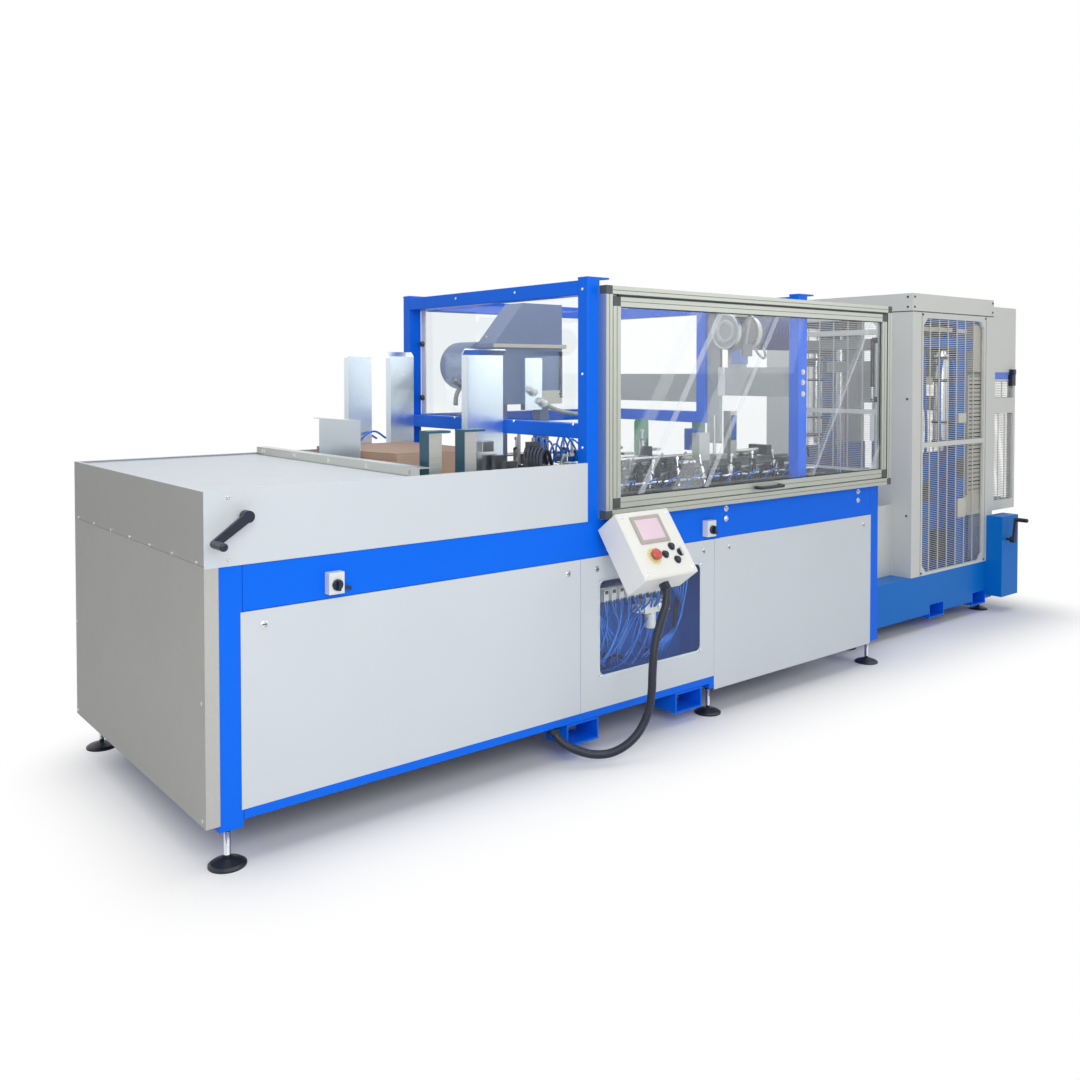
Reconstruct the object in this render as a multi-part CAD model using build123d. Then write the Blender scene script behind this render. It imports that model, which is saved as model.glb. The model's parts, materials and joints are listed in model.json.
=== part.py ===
from build123d import *
import math
import os

# Tray erector: a packaging line machine on levelling feet.
# X runs with the product, from the blank magazine to the outfeed.
# The operator stands at low Y. Z is up. Sizes are in millimetres.

# General sheet and tube
sheet = 2
tube_wall = 4
tube_round = 4
run_gap = 6

# Base cabinet: posts, bands and strips
base_length = 3643
base_width = 1417
frame_skin = 3
corner_post = 80
infeed_post_x = 43
post_bottom = 125
strip_bottom = 147
strip_height = 60
rail_depth = 50
band_bottom = 803
band_height = 150
mid_post_width = 70
foot_plate = 8
mid_post_x = 2335

# Levelling feet
foot_disc_radius = 60
foot_disc_height = 24
foot_stem_radius = 9
foot_nut_radius = 15
foot_nut_height = 14

# Lift-off panels
panel_gap = 6
panel_lap = 8
panel_flange = 22
first_panel_end = 1525
second_panel_start = 2331
first_panel_lap = 27
second_panel_bottom = 116
end_wrap = 45
end_panel_bottom = 148
seam_drop = 7

# Pneumatics bay
window_x0 = 1631
window_x1 = 2235
window_z0 = 314
window_z1 = 702
window_round = 26
window_cover = 3
cover_margin = 10
bay_depth = 170
valve_z = 620
valve_x0 = 1700
valve_count = 9
valve_pitch = 44
valve_width = 36
valve_height = 64
valve_depth = 50
manifold_height = 40
manifold_depth = 55
regulator_x = 2045
regulator_z = 500

# Fork sleeves
fork_width = 170
fork_wall = 8
fork_length = 132
fork_bottom = 57
fork_x = (1540, 2165)

# Infeed housing and magazine
housing_top = 1190
housing_end_x = 1563
rim = 14
cover_end = 770
cover_drop = 8
cover_thickness = 4
table_top = 1100
table_thickness = 8
table_leg = 40
crossbar_x = 776
crossbar_width = 46
crossbar_rise = 34
crossbar_wall = 4
catch_count = 5
catch_size = 16
catch_reach = 7
stack_x0 = 1010
stack_x1 = 1500
stack_depth = 710
stack_inset = 147
stack_notch_x = 1320
stack_notch = 80
stack_cut_x = 50
stack_cut_y = 260
stack_top = 1215
guide_top = 1657
guide_sheet = 4
guide_flare = 22
guide_flange = 45
rear_guides = ((1179, 123), (1407, 131))
front_guide_x = 1330
front_guide_width = 218
end_stop_y0 = 844
end_stop_width = 382
end_stop_top = 1350
end_stop_lip = 28
stand_x = (893, 1053)
stand_width = 92
stand_depth = 60
stand_y = 130
stand_top = 1332
stand_sheet = 6
lever_length = 80
lever_width = 14

# Guard cage over the forming section
guard_post = 60
guard_post_front = 68
guard_top = 1942
guard_mid_x = 2944
guard_rail = 60
top_rail_drop = 12
lower_rail_z = 1286
inner_post_y = 618
ear_length = 58
cap_thickness = 6
cap_round = 12
pane_thickness = 5
pane_lap = 20

# Operator's door and its fixed frame
door_x0 = 1623
door_past_base = 41
door_z0 = 961
door_z1 = 1907
outer_profile = 35
outer_depth = 48
leaf_profile = 42
leaf_depth = 30
leaf_setback = 3
leaf_pane_thickness = 5
hinge_radius = 5
hinge_clearance = 0.3
hinge_inset = 60
handle_x = 2650
handle_length = 170
handle_reach = 36
handle_radius = 8

# Gas strut of the door
strut_x = 3620
strut_drop = 140
strut_length = 317
strut_body_radius = 11
strut_body_length = 249
strut_rod_radius = 5
strut_clearance = 0.1
strut_back = 42
strut_eye_radius = 9
strut_eye_width = 12
strut_pin_radius = 4
strut_pin_length = 39
pin_clearance = 0.05
strut_plate = 5
strut_plate_height = 30
strut_plate_depth = 15
strut_boss = 4
strut_boss_radius = 8
strut_seat = 8

# Hand cranks
crank_arm = 130
crank_thickness = 14
crank_hub_radius = 19
crank_hub_length = 30
crank_tip_radius = 12
crank_shaft_radius = 7
crank_standoff = 24
crank_shaft_depth = 14
grip_radius = 13
grip_length = 72
infeed_crank_x = 122
infeed_crank_z = 1109
infeed_crank_turn = 215
side_crank_back = 8
side_crank_z = 480
side_crank_turn = 80
shaft_clearance = 0.05

# Operator console
console_x = 1608
console_width = 298
console_face = 298
console_depth = 131
console_lean = 36.5
console_front_y = -112
console_top_z = 993
console_round = 6
screen_width = 128
screen_height = 92
screen_round = 5
screen_rise = 5
button_radius = 11
button_rise = 12
stop_radius = 20
stop_stem_radius = 12
bracket_width = 180
bracket_height = 70
gland_radius = 22
gland_length = 26

# Conduit from the console to a gland under the base strip
conduit_radius = 17
conduit_gland_radius = 24
conduit_gland_height = 20
conduit_points = (
    (1745, -271, 655),
    (1704, -278, 586),
    (1672, -272, 498),
    (1672, -260, 388),
    (1690, -240, 285),
    (1694, -212, 186),
    (1658, -180, 98),
    (1580, -144, 48),
    (1498, -106, 48),
    (1432, -66, 76),
    (1402, -18, 99),
)
conduit_end = (1398, 18)
arc_share = 0.45

# Forming deck and mechanism inside the guard
deck_thickness = 12
lane_y = (520, 900)
lane_width = 40
lane_height = 120
lane_x0 = 1640
cross_beam_x = (1990, 2460)
cross_beam_width = 80
cross_beam_height = 50
side_beam = (2119, 3385)
side_beam_y = 400
side_beam_width = 30
side_beam_height = 114
lane_rail = (2677, 3524)
lane_rail_width = 24
lane_rail_height = 27
fitting_depth = 50
cylinder_block = (2770, 2850)
cylinder_block_height = 143
stop_post = (3016, 3066)
stop_post_height = 252
stop_rod_end = 3267
stop_rod_radius = 12
stop_rod_rise = 33
green_plate_x = (2700, 3160)
green_plate_width = 100
green_plate_height = 230
green_plate_thickness = 10
green_plate_round = 20

# Blank feeder at the back of the cage
feeder_x0 = 1760
feeder_x1 = 2184
feeder_back = 309
feeder_depth = 145
feeder_z0 = 1400
feeder_ledge_z = 1677
feeder_ledge_height = 20
feeder_ledge_reach = 15
feeder_top = 1899
feeder_slope = 173
feeder_leg_inset = 80
drum_x = 1798
drum_z = 1590
drum_radius = 120
drum_round = 25
drum_gap = 84

# Partition of the cage with the gear motor on it
partition_thickness = 40
partition_plate_thickness = 20
rear_beam_z0 = 1397
rear_beam_z1 = 1550
front_beam_z0 = 1436
front_beam_z1 = 1583
partition_plate_depth = 88
partition_plate_z0 = 1180
motor_x0 = 2881
motor_y = 420
motor_z = 1768
motor_steps = ((22, 92), (137, 80), (26, 92), (334, 84), (23, 70))
saddle_length = 56
saddle_width = 80
saddle_height = 117

# Forming tower
tower_past_base = 683
tower_length = 972
tower_y0 = 216
tower_y1 = 1300
tower_top = 2029
tower_floor = 330
tower_base_bottom = 86
tower_base_wall = 10
tower_post = 95
tower_foot_inset = (117, 42)
tower_fork_back = (678, 163)
hood_height = 106
mesh_depth = 20
mesh_cut = 45
mesh_rail = 30
mesh_bar_width = 8
mesh_bar_depth = 4
front_margin = 121
window_sill = 15
window_head = 38
front_rail_z = 1104
front_bars = 6
entry_y0 = 450
entry_y1 = 1114
entry_top = 945
infeed_margin = 14
infeed_rail_z = (1301, 1790)
infeed_bars = 5
transfer_length = 209
transfer_thickness = 4
transfer_y = (350, 1162)
transfer_height = 430
transfer_round = 40

# Forming press inside the tower
column_radius = 28
column_pitch_x = 420
column_pitch_y = 300
press_plate_x = 560
press_plate_y = 420
frame_gap = 5
frame_x0 = 549
frame_x1 = 674
side_plate_thickness = 10
side_plate_top = 1060
top_beam_drop = 9
top_beam_height = 52
head_beam_drop = 152
head_beam_height = 59
head_beam_end = 759
cylinder_x = 451
cylinder_length = 558
cylinder_radius = 54
cylinder_neck = 44
cylinder_neck_radius = 30
cylinder_rod_radius = 16
cylinder_rod_length = 40
cover_x = (759, 877)
cover_z = (1563, 1862)
ribbed_x0 = 704
ribbed_z = (774, 1543)
ribbed_inset = 4
lower_cover_z = 644
bed_z = 830
bed_thickness = 60
die_opening_x = 260
die_opening_y = 200
ram_drop = 363
ram_thickness = 70
ram_bush_clearance = 0.08
plunger_x = 230
plunger_y = 170
plunger_length = 200
plunger_round = 12

# Drive box beside the tower
side_box_back = 73
side_box_reach = 142
side_box_y0 = 110
side_box_top = 627
side_box_bottom = 108

# Outfeed guard
outfeed_length = 300
outfeed_y1 = 1060
outfeed_z0 = 652
outfeed_z1 = 1987
outfeed_roof = 4
outfeed_margin = 24
outfeed_cut = 8
outfeed_low_window = (711, 1290)
outfeed_high_window = (1390, 1500)
outfeed_side_bars = 2
outfeed_end_bars = 6

nodes = {}
cords = []


def add(name, *solids):
    """File the solids of a node."""
    nodes.setdefault(name, []).extend(solids)


def section_plane(axis, start):
    """The plane across an axis. Its own axes are Y and Z, X and Z, or X and Y."""
    if axis == "x":
        return Plane((start, 0, 0), x_dir=(0, 1, 0), z_dir=(1, 0, 0))
    if axis == "y":
        return Plane((0, start, 0), x_dir=(1, 0, 0), z_dir=(0, -1, 0))
    return Plane((0, 0, start), x_dir=(1, 0, 0), z_dir=(0, 0, 1))


directions = {"x": (1, 0, 0), "y": (0, 1, 0), "z": (0, 0, 1)}


def pull(axis, start, end, flat):
    """Extrude a flat shape, drawn across an axis, from start to end."""
    return extrude(section_plane(axis, start) * flat, amount=end - start, dir=directions[axis])


def outline(axis, start, end, points):
    """Extrude a closed outline of straight edges from start to end."""
    return pull(axis, start, end, make_face(Polyline(*points, close=True)))


def block(x0, x1, y0, y1, z0, z1):
    """A block between its limits."""
    return Pos((x0 + x1) / 2, (y0 + y1) / 2, (z0 + z1) / 2) * Box(x1 - x0, y1 - y0, z1 - z0)


def tube(axis, start, end, centre, width, height, wall=tube_wall, corner=tube_round):
    """A rectangular tube with rounded corners along one axis."""
    ring = RectangleRounded(width, height, corner) - Rectangle(width - 2 * wall, height - 2 * wall)
    return pull(axis, start, end, Pos(*centre) * ring)


def rod(axis, start, end, centre, radius):
    """A round bar along one axis."""
    return pull(axis, start, end, Pos(*centre) * Circle(radius))


# Places shared by several pieces
front_skin = frame_skin
rear_skin = base_width - frame_skin
band_top = band_bottom + band_height
strip_top = strip_bottom + strip_height
post_x0 = infeed_post_x + corner_post
post_x1 = base_length - corner_post
post_y = (front_skin + corner_post / 2, rear_skin - corner_post / 2)
rail_y = (front_skin + rail_depth / 2, rear_skin - rail_depth / 2)
tower_x0 = base_length + tower_past_base
tower_x1 = tower_x0 + tower_length
foot_x = (infeed_post_x + corner_post / 2, mid_post_x, base_length - corner_post / 2)
mid_x0 = mid_post_x - mid_post_width / 2
mid_x1 = mid_post_x + mid_post_width / 2
bay_post_x0 = housing_end_x - mid_post_width
bay_post_x1 = housing_end_x

# Welded base: corner, middle and bay posts.
plate_top = post_bottom + foot_plate
for y in post_y:
    for x in (foot_x[0], foot_x[2]):
        post = tube("z", post_bottom, band_top, (x, y), corner_post, corner_post)
        end_plate = RectangleRounded(corner_post, corner_post, tube_round)
        post += pull("z", post_bottom, plate_top, Pos(x, y) * end_plate)
        add("base_posts", post)
    mid_post = tube("z", post_bottom, band_bottom, (mid_post_x, y), mid_post_width, corner_post)
    mid_plate = RectangleRounded(mid_post_width, corner_post, tube_round)
    add("base_posts", mid_post + pull("z", post_bottom, plate_top, Pos(mid_post_x, y) * mid_plate))
for y in rail_y:
    bay_post_x = (bay_post_x0 + bay_post_x1) / 2
    add("base_posts", tube("z", strip_top, band_bottom, (bay_post_x, y), mid_post_width, rail_depth))

# Bands along the top of the base and strips along its foot, on both long sides.
for y in rail_y:
    band_z = band_bottom + band_height / 2
    strip_z = strip_bottom + strip_height / 2
    add("base_rails", tube("x", post_x0, post_x1, (y, band_z), rail_depth, band_height))
    for x0, x1 in ((post_x0, mid_x0), (mid_x1, post_x1)):
        add("base_rails", tube("x", x0, x1, (y, strip_z), rail_depth, strip_height))

# Cross rails between the corner and middle posts.
cross_y0 = front_skin + corner_post
cross_y1 = rear_skin - corner_post
for x in foot_x:
    add("base_rails", tube("y", cross_y0, cross_y1, (x, strip_z), corner_post, strip_height))
for x in (foot_x[0], foot_x[2]):
    add("base_rails", tube("y", cross_y0, cross_y1, (x, band_z), rail_depth, band_height))

# Short fork sleeves under the strips and let into the tower's base, front and rear.
fork_height = strip_bottom - fork_bottom
fork_top = strip_bottom
tower_fork_x = [tower_x1 - back for back in tower_fork_back]
fork_places = [(x, front_skin, rear_skin) for x in fork_x] + [(x, tower_y0, tower_y1) for x in tower_fork_x]
for x, front, rear in fork_places:
    for y0 in (front, rear - fork_length):
        centre = (x, fork_bottom + fork_height / 2)
        sleeve = tube("y", y0, y0 + fork_length, centre, fork_width, fork_height, fork_wall)
        add("fork_sleeves", sleeve)


def foot(x, y, top):
    """A levelling foot turned as one profile: coned disc, stem and lock nut."""
    profile = [
        (0, 0),
        (foot_disc_radius, 0),
        (foot_disc_radius, foot_disc_height * 0.25),
        (foot_disc_radius * 0.86, foot_disc_height * 0.5),
        (foot_stem_radius * 2, foot_disc_height),
        (foot_stem_radius, foot_disc_height),
        (foot_stem_radius, top - foot_nut_height),
        (foot_nut_radius, top - foot_nut_height),
        (foot_nut_radius, top),
        (0, top),
    ]
    face = Plane.XZ * make_face(Polyline(*profile, close=True))
    return Pos(x, y, 0) * revolve(face, Axis.Z)


for x in foot_x:
    for y in post_y:
        add("levelling_feet", foot(x, y, post_bottom))


def hung_panel(x0, x1, z0, z1, skin, inward, opening):
    """A lift-off sheet with a folded ring behind it that drops into the frame's opening."""
    back = skin + inward * sheet
    ring_end = back + inward * panel_flange
    face = block(x0, x1, min(skin, back), max(skin, back), z0, z1)
    a, b, c, d = opening
    low, high = min(back, ring_end), max(back, ring_end)
    ring = block(a + panel_gap, b - panel_gap, low, high, c + panel_gap, d - panel_gap)
    inset = panel_gap + sheet
    hollow = block(a + inset, b - inset, low - 1, high + 1, c + inset, d - inset)
    return face + (ring - hollow)


first_opening = (post_x0, bay_post_x0, strip_top, band_bottom)
bay_opening = (bay_post_x1, mid_x0, strip_top, band_bottom)
second_opening = (mid_x1, post_x1, strip_top, band_bottom)
first_panel_bottom = strip_top - first_panel_lap
front_face = front_skin - sheet
rear_face = rear_skin + sheet
first_x0 = post_x0 - panel_lap
second_x1 = post_x1 + panel_lap
for skin, inward in ((front_face, 1), (rear_face, -1)):
    low = second_panel_bottom
    second = hung_panel(second_panel_start, second_x1, low, band_bottom, skin, inward, second_opening)
    low = first_panel_bottom
    first = hung_panel(first_x0, first_panel_end, low, band_bottom, skin, inward, first_opening)
    add("side_panels", first, second)
bay_x0 = first_panel_end + sheet
bay_x1 = second_panel_start - sheet
add("side_panels", hung_panel(bay_x0, bay_x1, low, band_bottom, rear_face, -1, bay_opening))

# Pneumatics bay: a sheet front with a round-cornered window and an open box behind it.
window_centre = Pos((window_x0 + window_x1) / 2, (window_z0 + window_z1) / 2)
window_shape = RectangleRounded(window_x1 - window_x0, window_z1 - window_z0, window_round)
bay_sheet = block(bay_x0, bay_x1, front_skin - sheet, front_skin, low, band_bottom)
window_hole = pull("y", front_skin - 2 * sheet, front_skin + sheet, window_centre * window_shape)
add("bay_front", bay_sheet - window_hole)
box_x0 = bay_post_x1 + panel_gap
box_x1 = mid_x0 - panel_gap
box_z0 = strip_top + panel_gap
box_z1 = band_bottom - panel_gap
bay_back = front_skin + bay_depth
box_outer = block(box_x0, box_x1, front_skin, bay_back, box_z0, box_z1)
box_inner = block(
    box_x0 + sheet, box_x1 - sheet, front_skin - 1, bay_back - sheet, box_z0 + sheet, box_z1 - sheet
)
add("bay_box", box_outer - box_inner)
margin = 2 * cover_margin
cover_width = window_x1 - window_x0 + margin
cover_height = window_z1 - window_z0 + margin
cover_shape = RectangleRounded(cover_width, cover_height, window_round)
add("clear_panes", pull("y", front_face - window_cover, front_face, window_centre * cover_shape))

# Valve island on the bay's back wall, with the air regulator below it.
valve_wall = bay_back - sheet
valve_run = valve_count * valve_pitch
manifold_y = valve_wall - manifold_depth
manifold_z = (valve_z - manifold_height / 2, valve_z + manifold_height / 2)
island = block(valve_x0, valve_x0 + valve_run, manifold_y, valve_wall, *manifold_z)
for i in range(valve_count):
    x0 = valve_x0 + i * valve_pitch + (valve_pitch - valve_width) / 2
    valve_z_span = (valve_z - valve_height / 2, valve_z + valve_height / 2)
    valve = block(x0, x0 + valve_width, manifold_y - valve_depth, manifold_y, *valve_z_span)
    island += fillet(valve.edges().filter_by(Axis.Z).group_by(Axis.Y)[0], valve_width / 4)
add("air_fittings", island)
regulator_y = valve_wall - 45
bowl = rod("z", regulator_z - 80, regulator_z, (regulator_x, regulator_y), 26)
bowl = fillet(bowl.edges().group_by(Axis.Z)[0], 10)
body = block(regulator_x - 30, regulator_x + 30, regulator_y - 30, valve_wall, regulator_z, regulator_z + 50)
gauge = rod("y", regulator_y - 42, regulator_y - 30, (regulator_x, regulator_z + 25), 20)
add("air_fittings", body + bowl + gauge)

# Infeed end: a lower sheet wrapped round both corners, and an upper sheet with a folded top.
end_seam = band_top + seam_drop
wrap = [
    (end_wrap, 0),
    (0, 0),
    (0, base_width),
    (end_wrap, base_width),
    (end_wrap, base_width - sheet),
    (sheet, base_width - sheet),
    (sheet, sheet),
    (end_wrap, sheet),
]
add("end_panel", outline("z", end_panel_bottom, band_top, wrap))
lap = block(0, sheet, 0, base_width, band_top, end_seam - 1)
add("end_panel", nodes["end_panel"].pop() + lap)
upper_end = block(0, sheet, 0, base_width, end_seam, housing_top)
upper_fold = block(sheet, rim, rim, base_width - rim, housing_top - sheet, housing_top)
add("housing_sheets", upper_end + upper_fold)


def side_sheet(skin, inward):
    """A long side sheet of the housing, drawn as its end profile with a folded top edge."""
    profile = [
        (skin, band_top),
        (skin, housing_top),
        (skin + inward * rim, housing_top),
        (skin + inward * rim, housing_top - sheet),
        (skin + inward * sheet, housing_top - sheet),
        (skin + inward * sheet, band_top),
    ]
    return outline("x", sheet, housing_end_x, profile)


crank_hole = rod("y", -1, sheet + 1, (infeed_crank_x, infeed_crank_z), crank_shaft_radius + shaft_clearance)
add("housing_sheets", side_sheet(0, 1) - crank_hole, side_sheet(base_width, -1))
top_cover_z = housing_top - cover_drop
top_cover_y1 = base_width - sheet
add("top_cover", block(sheet, cover_end, sheet, top_cover_y1, top_cover_z - cover_thickness, top_cover_z))

# Magazine table on four legs that stand on the base bands.
table_x0 = cover_end + run_gap
table_y0 = rim + 2
table_y1 = base_width - table_y0
table_z0 = table_top - table_thickness
table = block(table_x0, housing_end_x, table_y0, table_y1, table_z0, table_top)
for x in (table_x0 + table_leg, housing_end_x - table_leg):
    for y in rail_y:
        table += tube("z", band_top, table_z0, (x, y), table_leg, table_leg)
add("magazine_table", table)

# Cross angle over the magazine mouth, with small cover catches along it.
bar_top = top_cover_z + crossbar_rise
bar_profile = [
    (crossbar_x, table_top),
    (crossbar_x, bar_top),
    (crossbar_x + crossbar_width, bar_top),
    (crossbar_x + crossbar_width, bar_top - crossbar_wall),
    (crossbar_x + crossbar_wall, bar_top - crossbar_wall),
    (crossbar_x + crossbar_wall, table_top),
]
bar_y0 = rim + 2
bar_y1 = base_width - bar_y0
crossbar = outline("y", bar_y0, bar_y1, bar_profile)
catch_step = (bar_y1 - bar_y0 - 8 * catch_size) / (catch_count - 1)
for i in range(catch_count):
    y = bar_y0 + 4 * catch_size + i * catch_step
    catch_z = top_cover_z + crossbar_rise / 2
    half = catch_size / 2
    catch_x = crossbar_x - catch_reach
    crossbar += block(catch_x, crossbar_x, y - half, y + half, catch_z - half, catch_z + half)
add("crossbar", crossbar)

# Blank stack and the upright guides round it.
stack_y1 = base_width - stack_inset
stack_y0 = stack_y1 - stack_depth
stack_shape = [
    (stack_x0, stack_y0 + stack_notch + stack_cut_y),
    (stack_x0, stack_y1),
    (stack_x1, stack_y1),
    (stack_x1, stack_y0),
    (stack_notch_x, stack_y0),
    (stack_notch_x - stack_notch / 2, stack_y0 + stack_notch),
    (stack_x0 + stack_cut_x, stack_y0 + stack_notch),
]
add("blank_stack", outline("z", table_top, stack_top, stack_shape))


def upright_guide(x0, width, y, outward):
    """A folded guide: a face with a flared lip, drawn as its side profile, and a side flange."""
    knee = guide_top - guide_flare
    profile = [
        (y, table_top),
        (y, knee),
        (y + outward * guide_flare, guide_top),
        (y + outward * (guide_flare + guide_sheet), guide_top - guide_sheet),
        (y + outward * guide_sheet, knee - guide_sheet),
        (y + outward * guide_sheet, table_top),
    ]
    face = outline("x", x0, x0 + width, profile)
    low, high = min(y, y + outward * guide_flange), max(y, y + outward * guide_flange)
    web = block(x0, x0 + guide_sheet, low, high, table_top, knee - 2 * guide_sheet)
    return face + web


for x0, width in rear_guides:
    add("magazine_guides", upright_guide(x0, width, stack_y1 + run_gap, 1))
add("magazine_guides", upright_guide(front_guide_x, front_guide_width, stack_y0 - run_gap, -1))
stop_x = stack_x0 - run_gap - guide_sheet
stop_y1 = end_stop_y0 + end_stop_width
stop = block(stop_x, stop_x + guide_sheet, end_stop_y0, stop_y1, table_top, end_stop_top)
lip_x = stop_x - end_stop_lip
stop_lip = block(lip_x, stop_x, end_stop_y0, stop_y1, end_stop_top - guide_sheet, end_stop_top)
add("magazine_guides", stop + stop_lip)

# Clamp stands at the front of the table, each held by a lever.
for x0 in stand_x:
    x1 = x0 + stand_width
    y1 = stand_y + stand_depth
    stand = block(x0, x1, stand_y, y1, table_top, table_top + stand_sheet)
    stand += block(x0, x1, y1 - stand_sheet, y1, table_top + stand_sheet, stand_top)
    stand += block(x0, x1, stand_y, y1 - stand_sheet, stand_top - stand_sheet, stand_top)
    add("clamp_stands", stand)
    lever_x = x0 + stand_width / 2
    lever_y = stand_y + stand_depth * 0.4
    lever_z = table_top + stand_sheet
    lever = rod("z", lever_z, lever_z + 34, (lever_x, lever_y), lever_width * 0.7)
    blade_plane = Plane((lever_x, lever_y, lever_z + 26), x_dir=(0.9, -0.3, 0), z_dir=(0, 0, 1))
    blade = Pos(lever_length / 2 - lever_width / 2, 0) * SlotOverall(lever_length, lever_width)
    add("clamp_levers", lever + extrude(blade_plane * blade, 10))

# Guard cage: posts with caps and rounded ears, then the rails.
post_rows = (front_skin, rear_skin - guard_post)
cage_x = (housing_end_x, guard_mid_x)
for x0 in cage_x:
    for y0 in post_rows:
        centre = (x0 + guard_post_front / 2, y0 + guard_post / 2)
        post = tube("z", band_top, guard_top - cap_thickness, centre, guard_post_front, guard_post)
        cap_x1 = x0 + guard_post_front + ear_length
        cap = block(x0, cap_x1, y0, y0 + guard_post, guard_top - cap_thickness, guard_top)
        cap = fillet(cap.edges().filter_by(Axis.Z).group_by(Axis.X)[-1], cap_round)
        add("guard_posts", post + cap)
rail_y0 = front_skin + guard_post
rail_y1 = rear_skin - guard_post
rail_top = guard_top - top_rail_drop
top_z = rail_top - guard_rail / 2
low_z = lower_rail_z + guard_rail / 2
mid_x = guard_mid_x + guard_post_front / 2
inner_centre = (mid_x, inner_post_y + guard_post / 2)
inner_post = tube("z", lower_rail_z, rail_top - guard_rail, inner_centre, guard_post_front, guard_post)
add("guard_posts", inner_post)
left_x = housing_end_x + guard_post_front / 2
inner_y1 = inner_post_y + guard_post
add("guard_rails", tube("y", rail_y0, rail_y1, (left_x, top_z), guard_post_front, guard_rail))
add("guard_rails", tube("y", rail_y0, rail_y1, (mid_x, top_z), guard_post_front, guard_rail))
add("guard_rails", tube("y", rail_y0, rail_y1, (left_x, low_z), guard_post_front, guard_rail))
add("guard_rails", tube("y", inner_y1, rail_y1, (mid_x, low_z), guard_post_front, guard_rail))
rear_rail_y = rear_skin - guard_post / 2
for z in (top_z, low_z):
    x0 = housing_end_x + guard_post_front
    add("guard_rails", tube("x", x0, guard_mid_x, (rear_rail_y, z), guard_rail, guard_rail))

# Clear panes on the inner faces of the cage.
pane_z0 = lower_rail_z + pane_lap
pane_z1 = rail_top - pane_lap
pane_x0 = housing_end_x + guard_post_front
pane_x1 = pane_x0 + pane_thickness
pane_y0 = rail_y1 - pane_thickness
add("clear_panes", block(pane_x0, pane_x1, rail_y0 - pane_lap, pane_y0, pane_z0, pane_z1))
add("clear_panes", block(pane_x0, guard_mid_x, pane_y0, rail_y1, pane_z0, pane_z1))

# Fixed door frame of four profile bars, with the groove that takes the hinge.
door_x1 = base_length + door_past_base
door_y1 = front_skin
door_y0 = door_y1 - outer_depth
inner_x0 = door_x0 + outer_profile
inner_x1 = door_x1 - outer_profile
inner_z0 = door_z0 + outer_profile
inner_z1 = door_z1 - outer_profile
hinge_y = door_y0 - 1
hinge_z = inner_z1 - run_gap / 2
groove = rod("x", door_x0 - 1, door_x1 + 1, (hinge_y, hinge_z), hinge_radius + hinge_clearance)
fixed_ring = block(door_x0, door_x1, door_y0, door_y1, inner_z1, door_z1) - groove
fixed_ring += block(door_x0, door_x1, door_y0, door_y1, door_z0, inner_z0)
for x0 in (door_x0, inner_x1):
    fixed_ring += block(x0, x0 + outer_profile, door_y0, door_y1, inner_z0, inner_z1)
add("door_frame", fixed_ring)
hinge_x0 = door_x0 + hinge_inset
hinge_x1 = door_x1 - hinge_inset
add("door_hinge", rod("x", hinge_x0, hinge_x1, (hinge_y, hinge_z), hinge_radius))

# Moving leaf: a profile ring, the clear pane in it and the pull handle.
leaf_x0 = inner_x0 + run_gap
leaf_x1 = inner_x1 - run_gap
leaf_z0 = inner_z0 + run_gap
leaf_z1 = inner_z1 - run_gap
leaf_y0 = door_y0 + leaf_setback
leaf_y1 = leaf_y0 + leaf_depth
glass_x0 = leaf_x0 + leaf_profile
glass_x1 = leaf_x1 - leaf_profile
glass_z0 = leaf_z0 + leaf_profile
glass_z1 = leaf_z1 - leaf_profile
leaf = block(leaf_x0, leaf_x1, leaf_y0, leaf_y1, leaf_z0, leaf_z1) - groove
leaf -= block(glass_x0, glass_x1, leaf_y0 - 1, leaf_y1 + 1, glass_z0, glass_z1)
add("leaf_frame", leaf)
glass_y = (leaf_y0 + leaf_y1) / 2
glass_half = leaf_pane_thickness / 2
add("leaf_pane", block(glass_x0, glass_x1, glass_y - glass_half, glass_y + glass_half, glass_z0, glass_z1))
handle_z = leaf_z0 + leaf_profile / 2
handle_x0 = handle_x - handle_length / 2
handle_x1 = handle_x + handle_length / 2
handle_path = FilletPolyline(
    (handle_x0, leaf_y0, handle_z),
    (handle_x0, leaf_y0 - handle_reach, handle_z),
    (handle_x1, leaf_y0 - handle_reach, handle_z),
    (handle_x1, leaf_y0, handle_z),
    radius=2 * handle_radius,
)
handle_start = Plane(origin=handle_path @ 0, z_dir=handle_path % 0)
add("door_handle", sweep(handle_start * Circle(handle_radius), path=handle_path))

# Gas strut beside the leaf: the rod's eye low on the frame's pin, the cylinder's eye high.
strut_y = leaf_y1 + strut_back
strut_top = hinge_z - strut_drop
strut_low = strut_top - strut_length
strut_centre = (strut_x, strut_y)
strut_body_low = strut_top - strut_body_length
eye_x0 = strut_x - strut_eye_width / 2
eye_x1 = strut_x + strut_eye_width / 2


def strut_eye(z):
    """The eye at an end of the strut, a short cylinder across it."""
    return rod("x", eye_x0, eye_x1, (strut_y, z), strut_eye_radius)


def strut_bore(z):
    """The bore of an eye, a running fit on its pin."""
    return rod("x", eye_x0 - 1, eye_x1 + 1, (strut_y, z), strut_pin_radius + pin_clearance)


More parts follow.
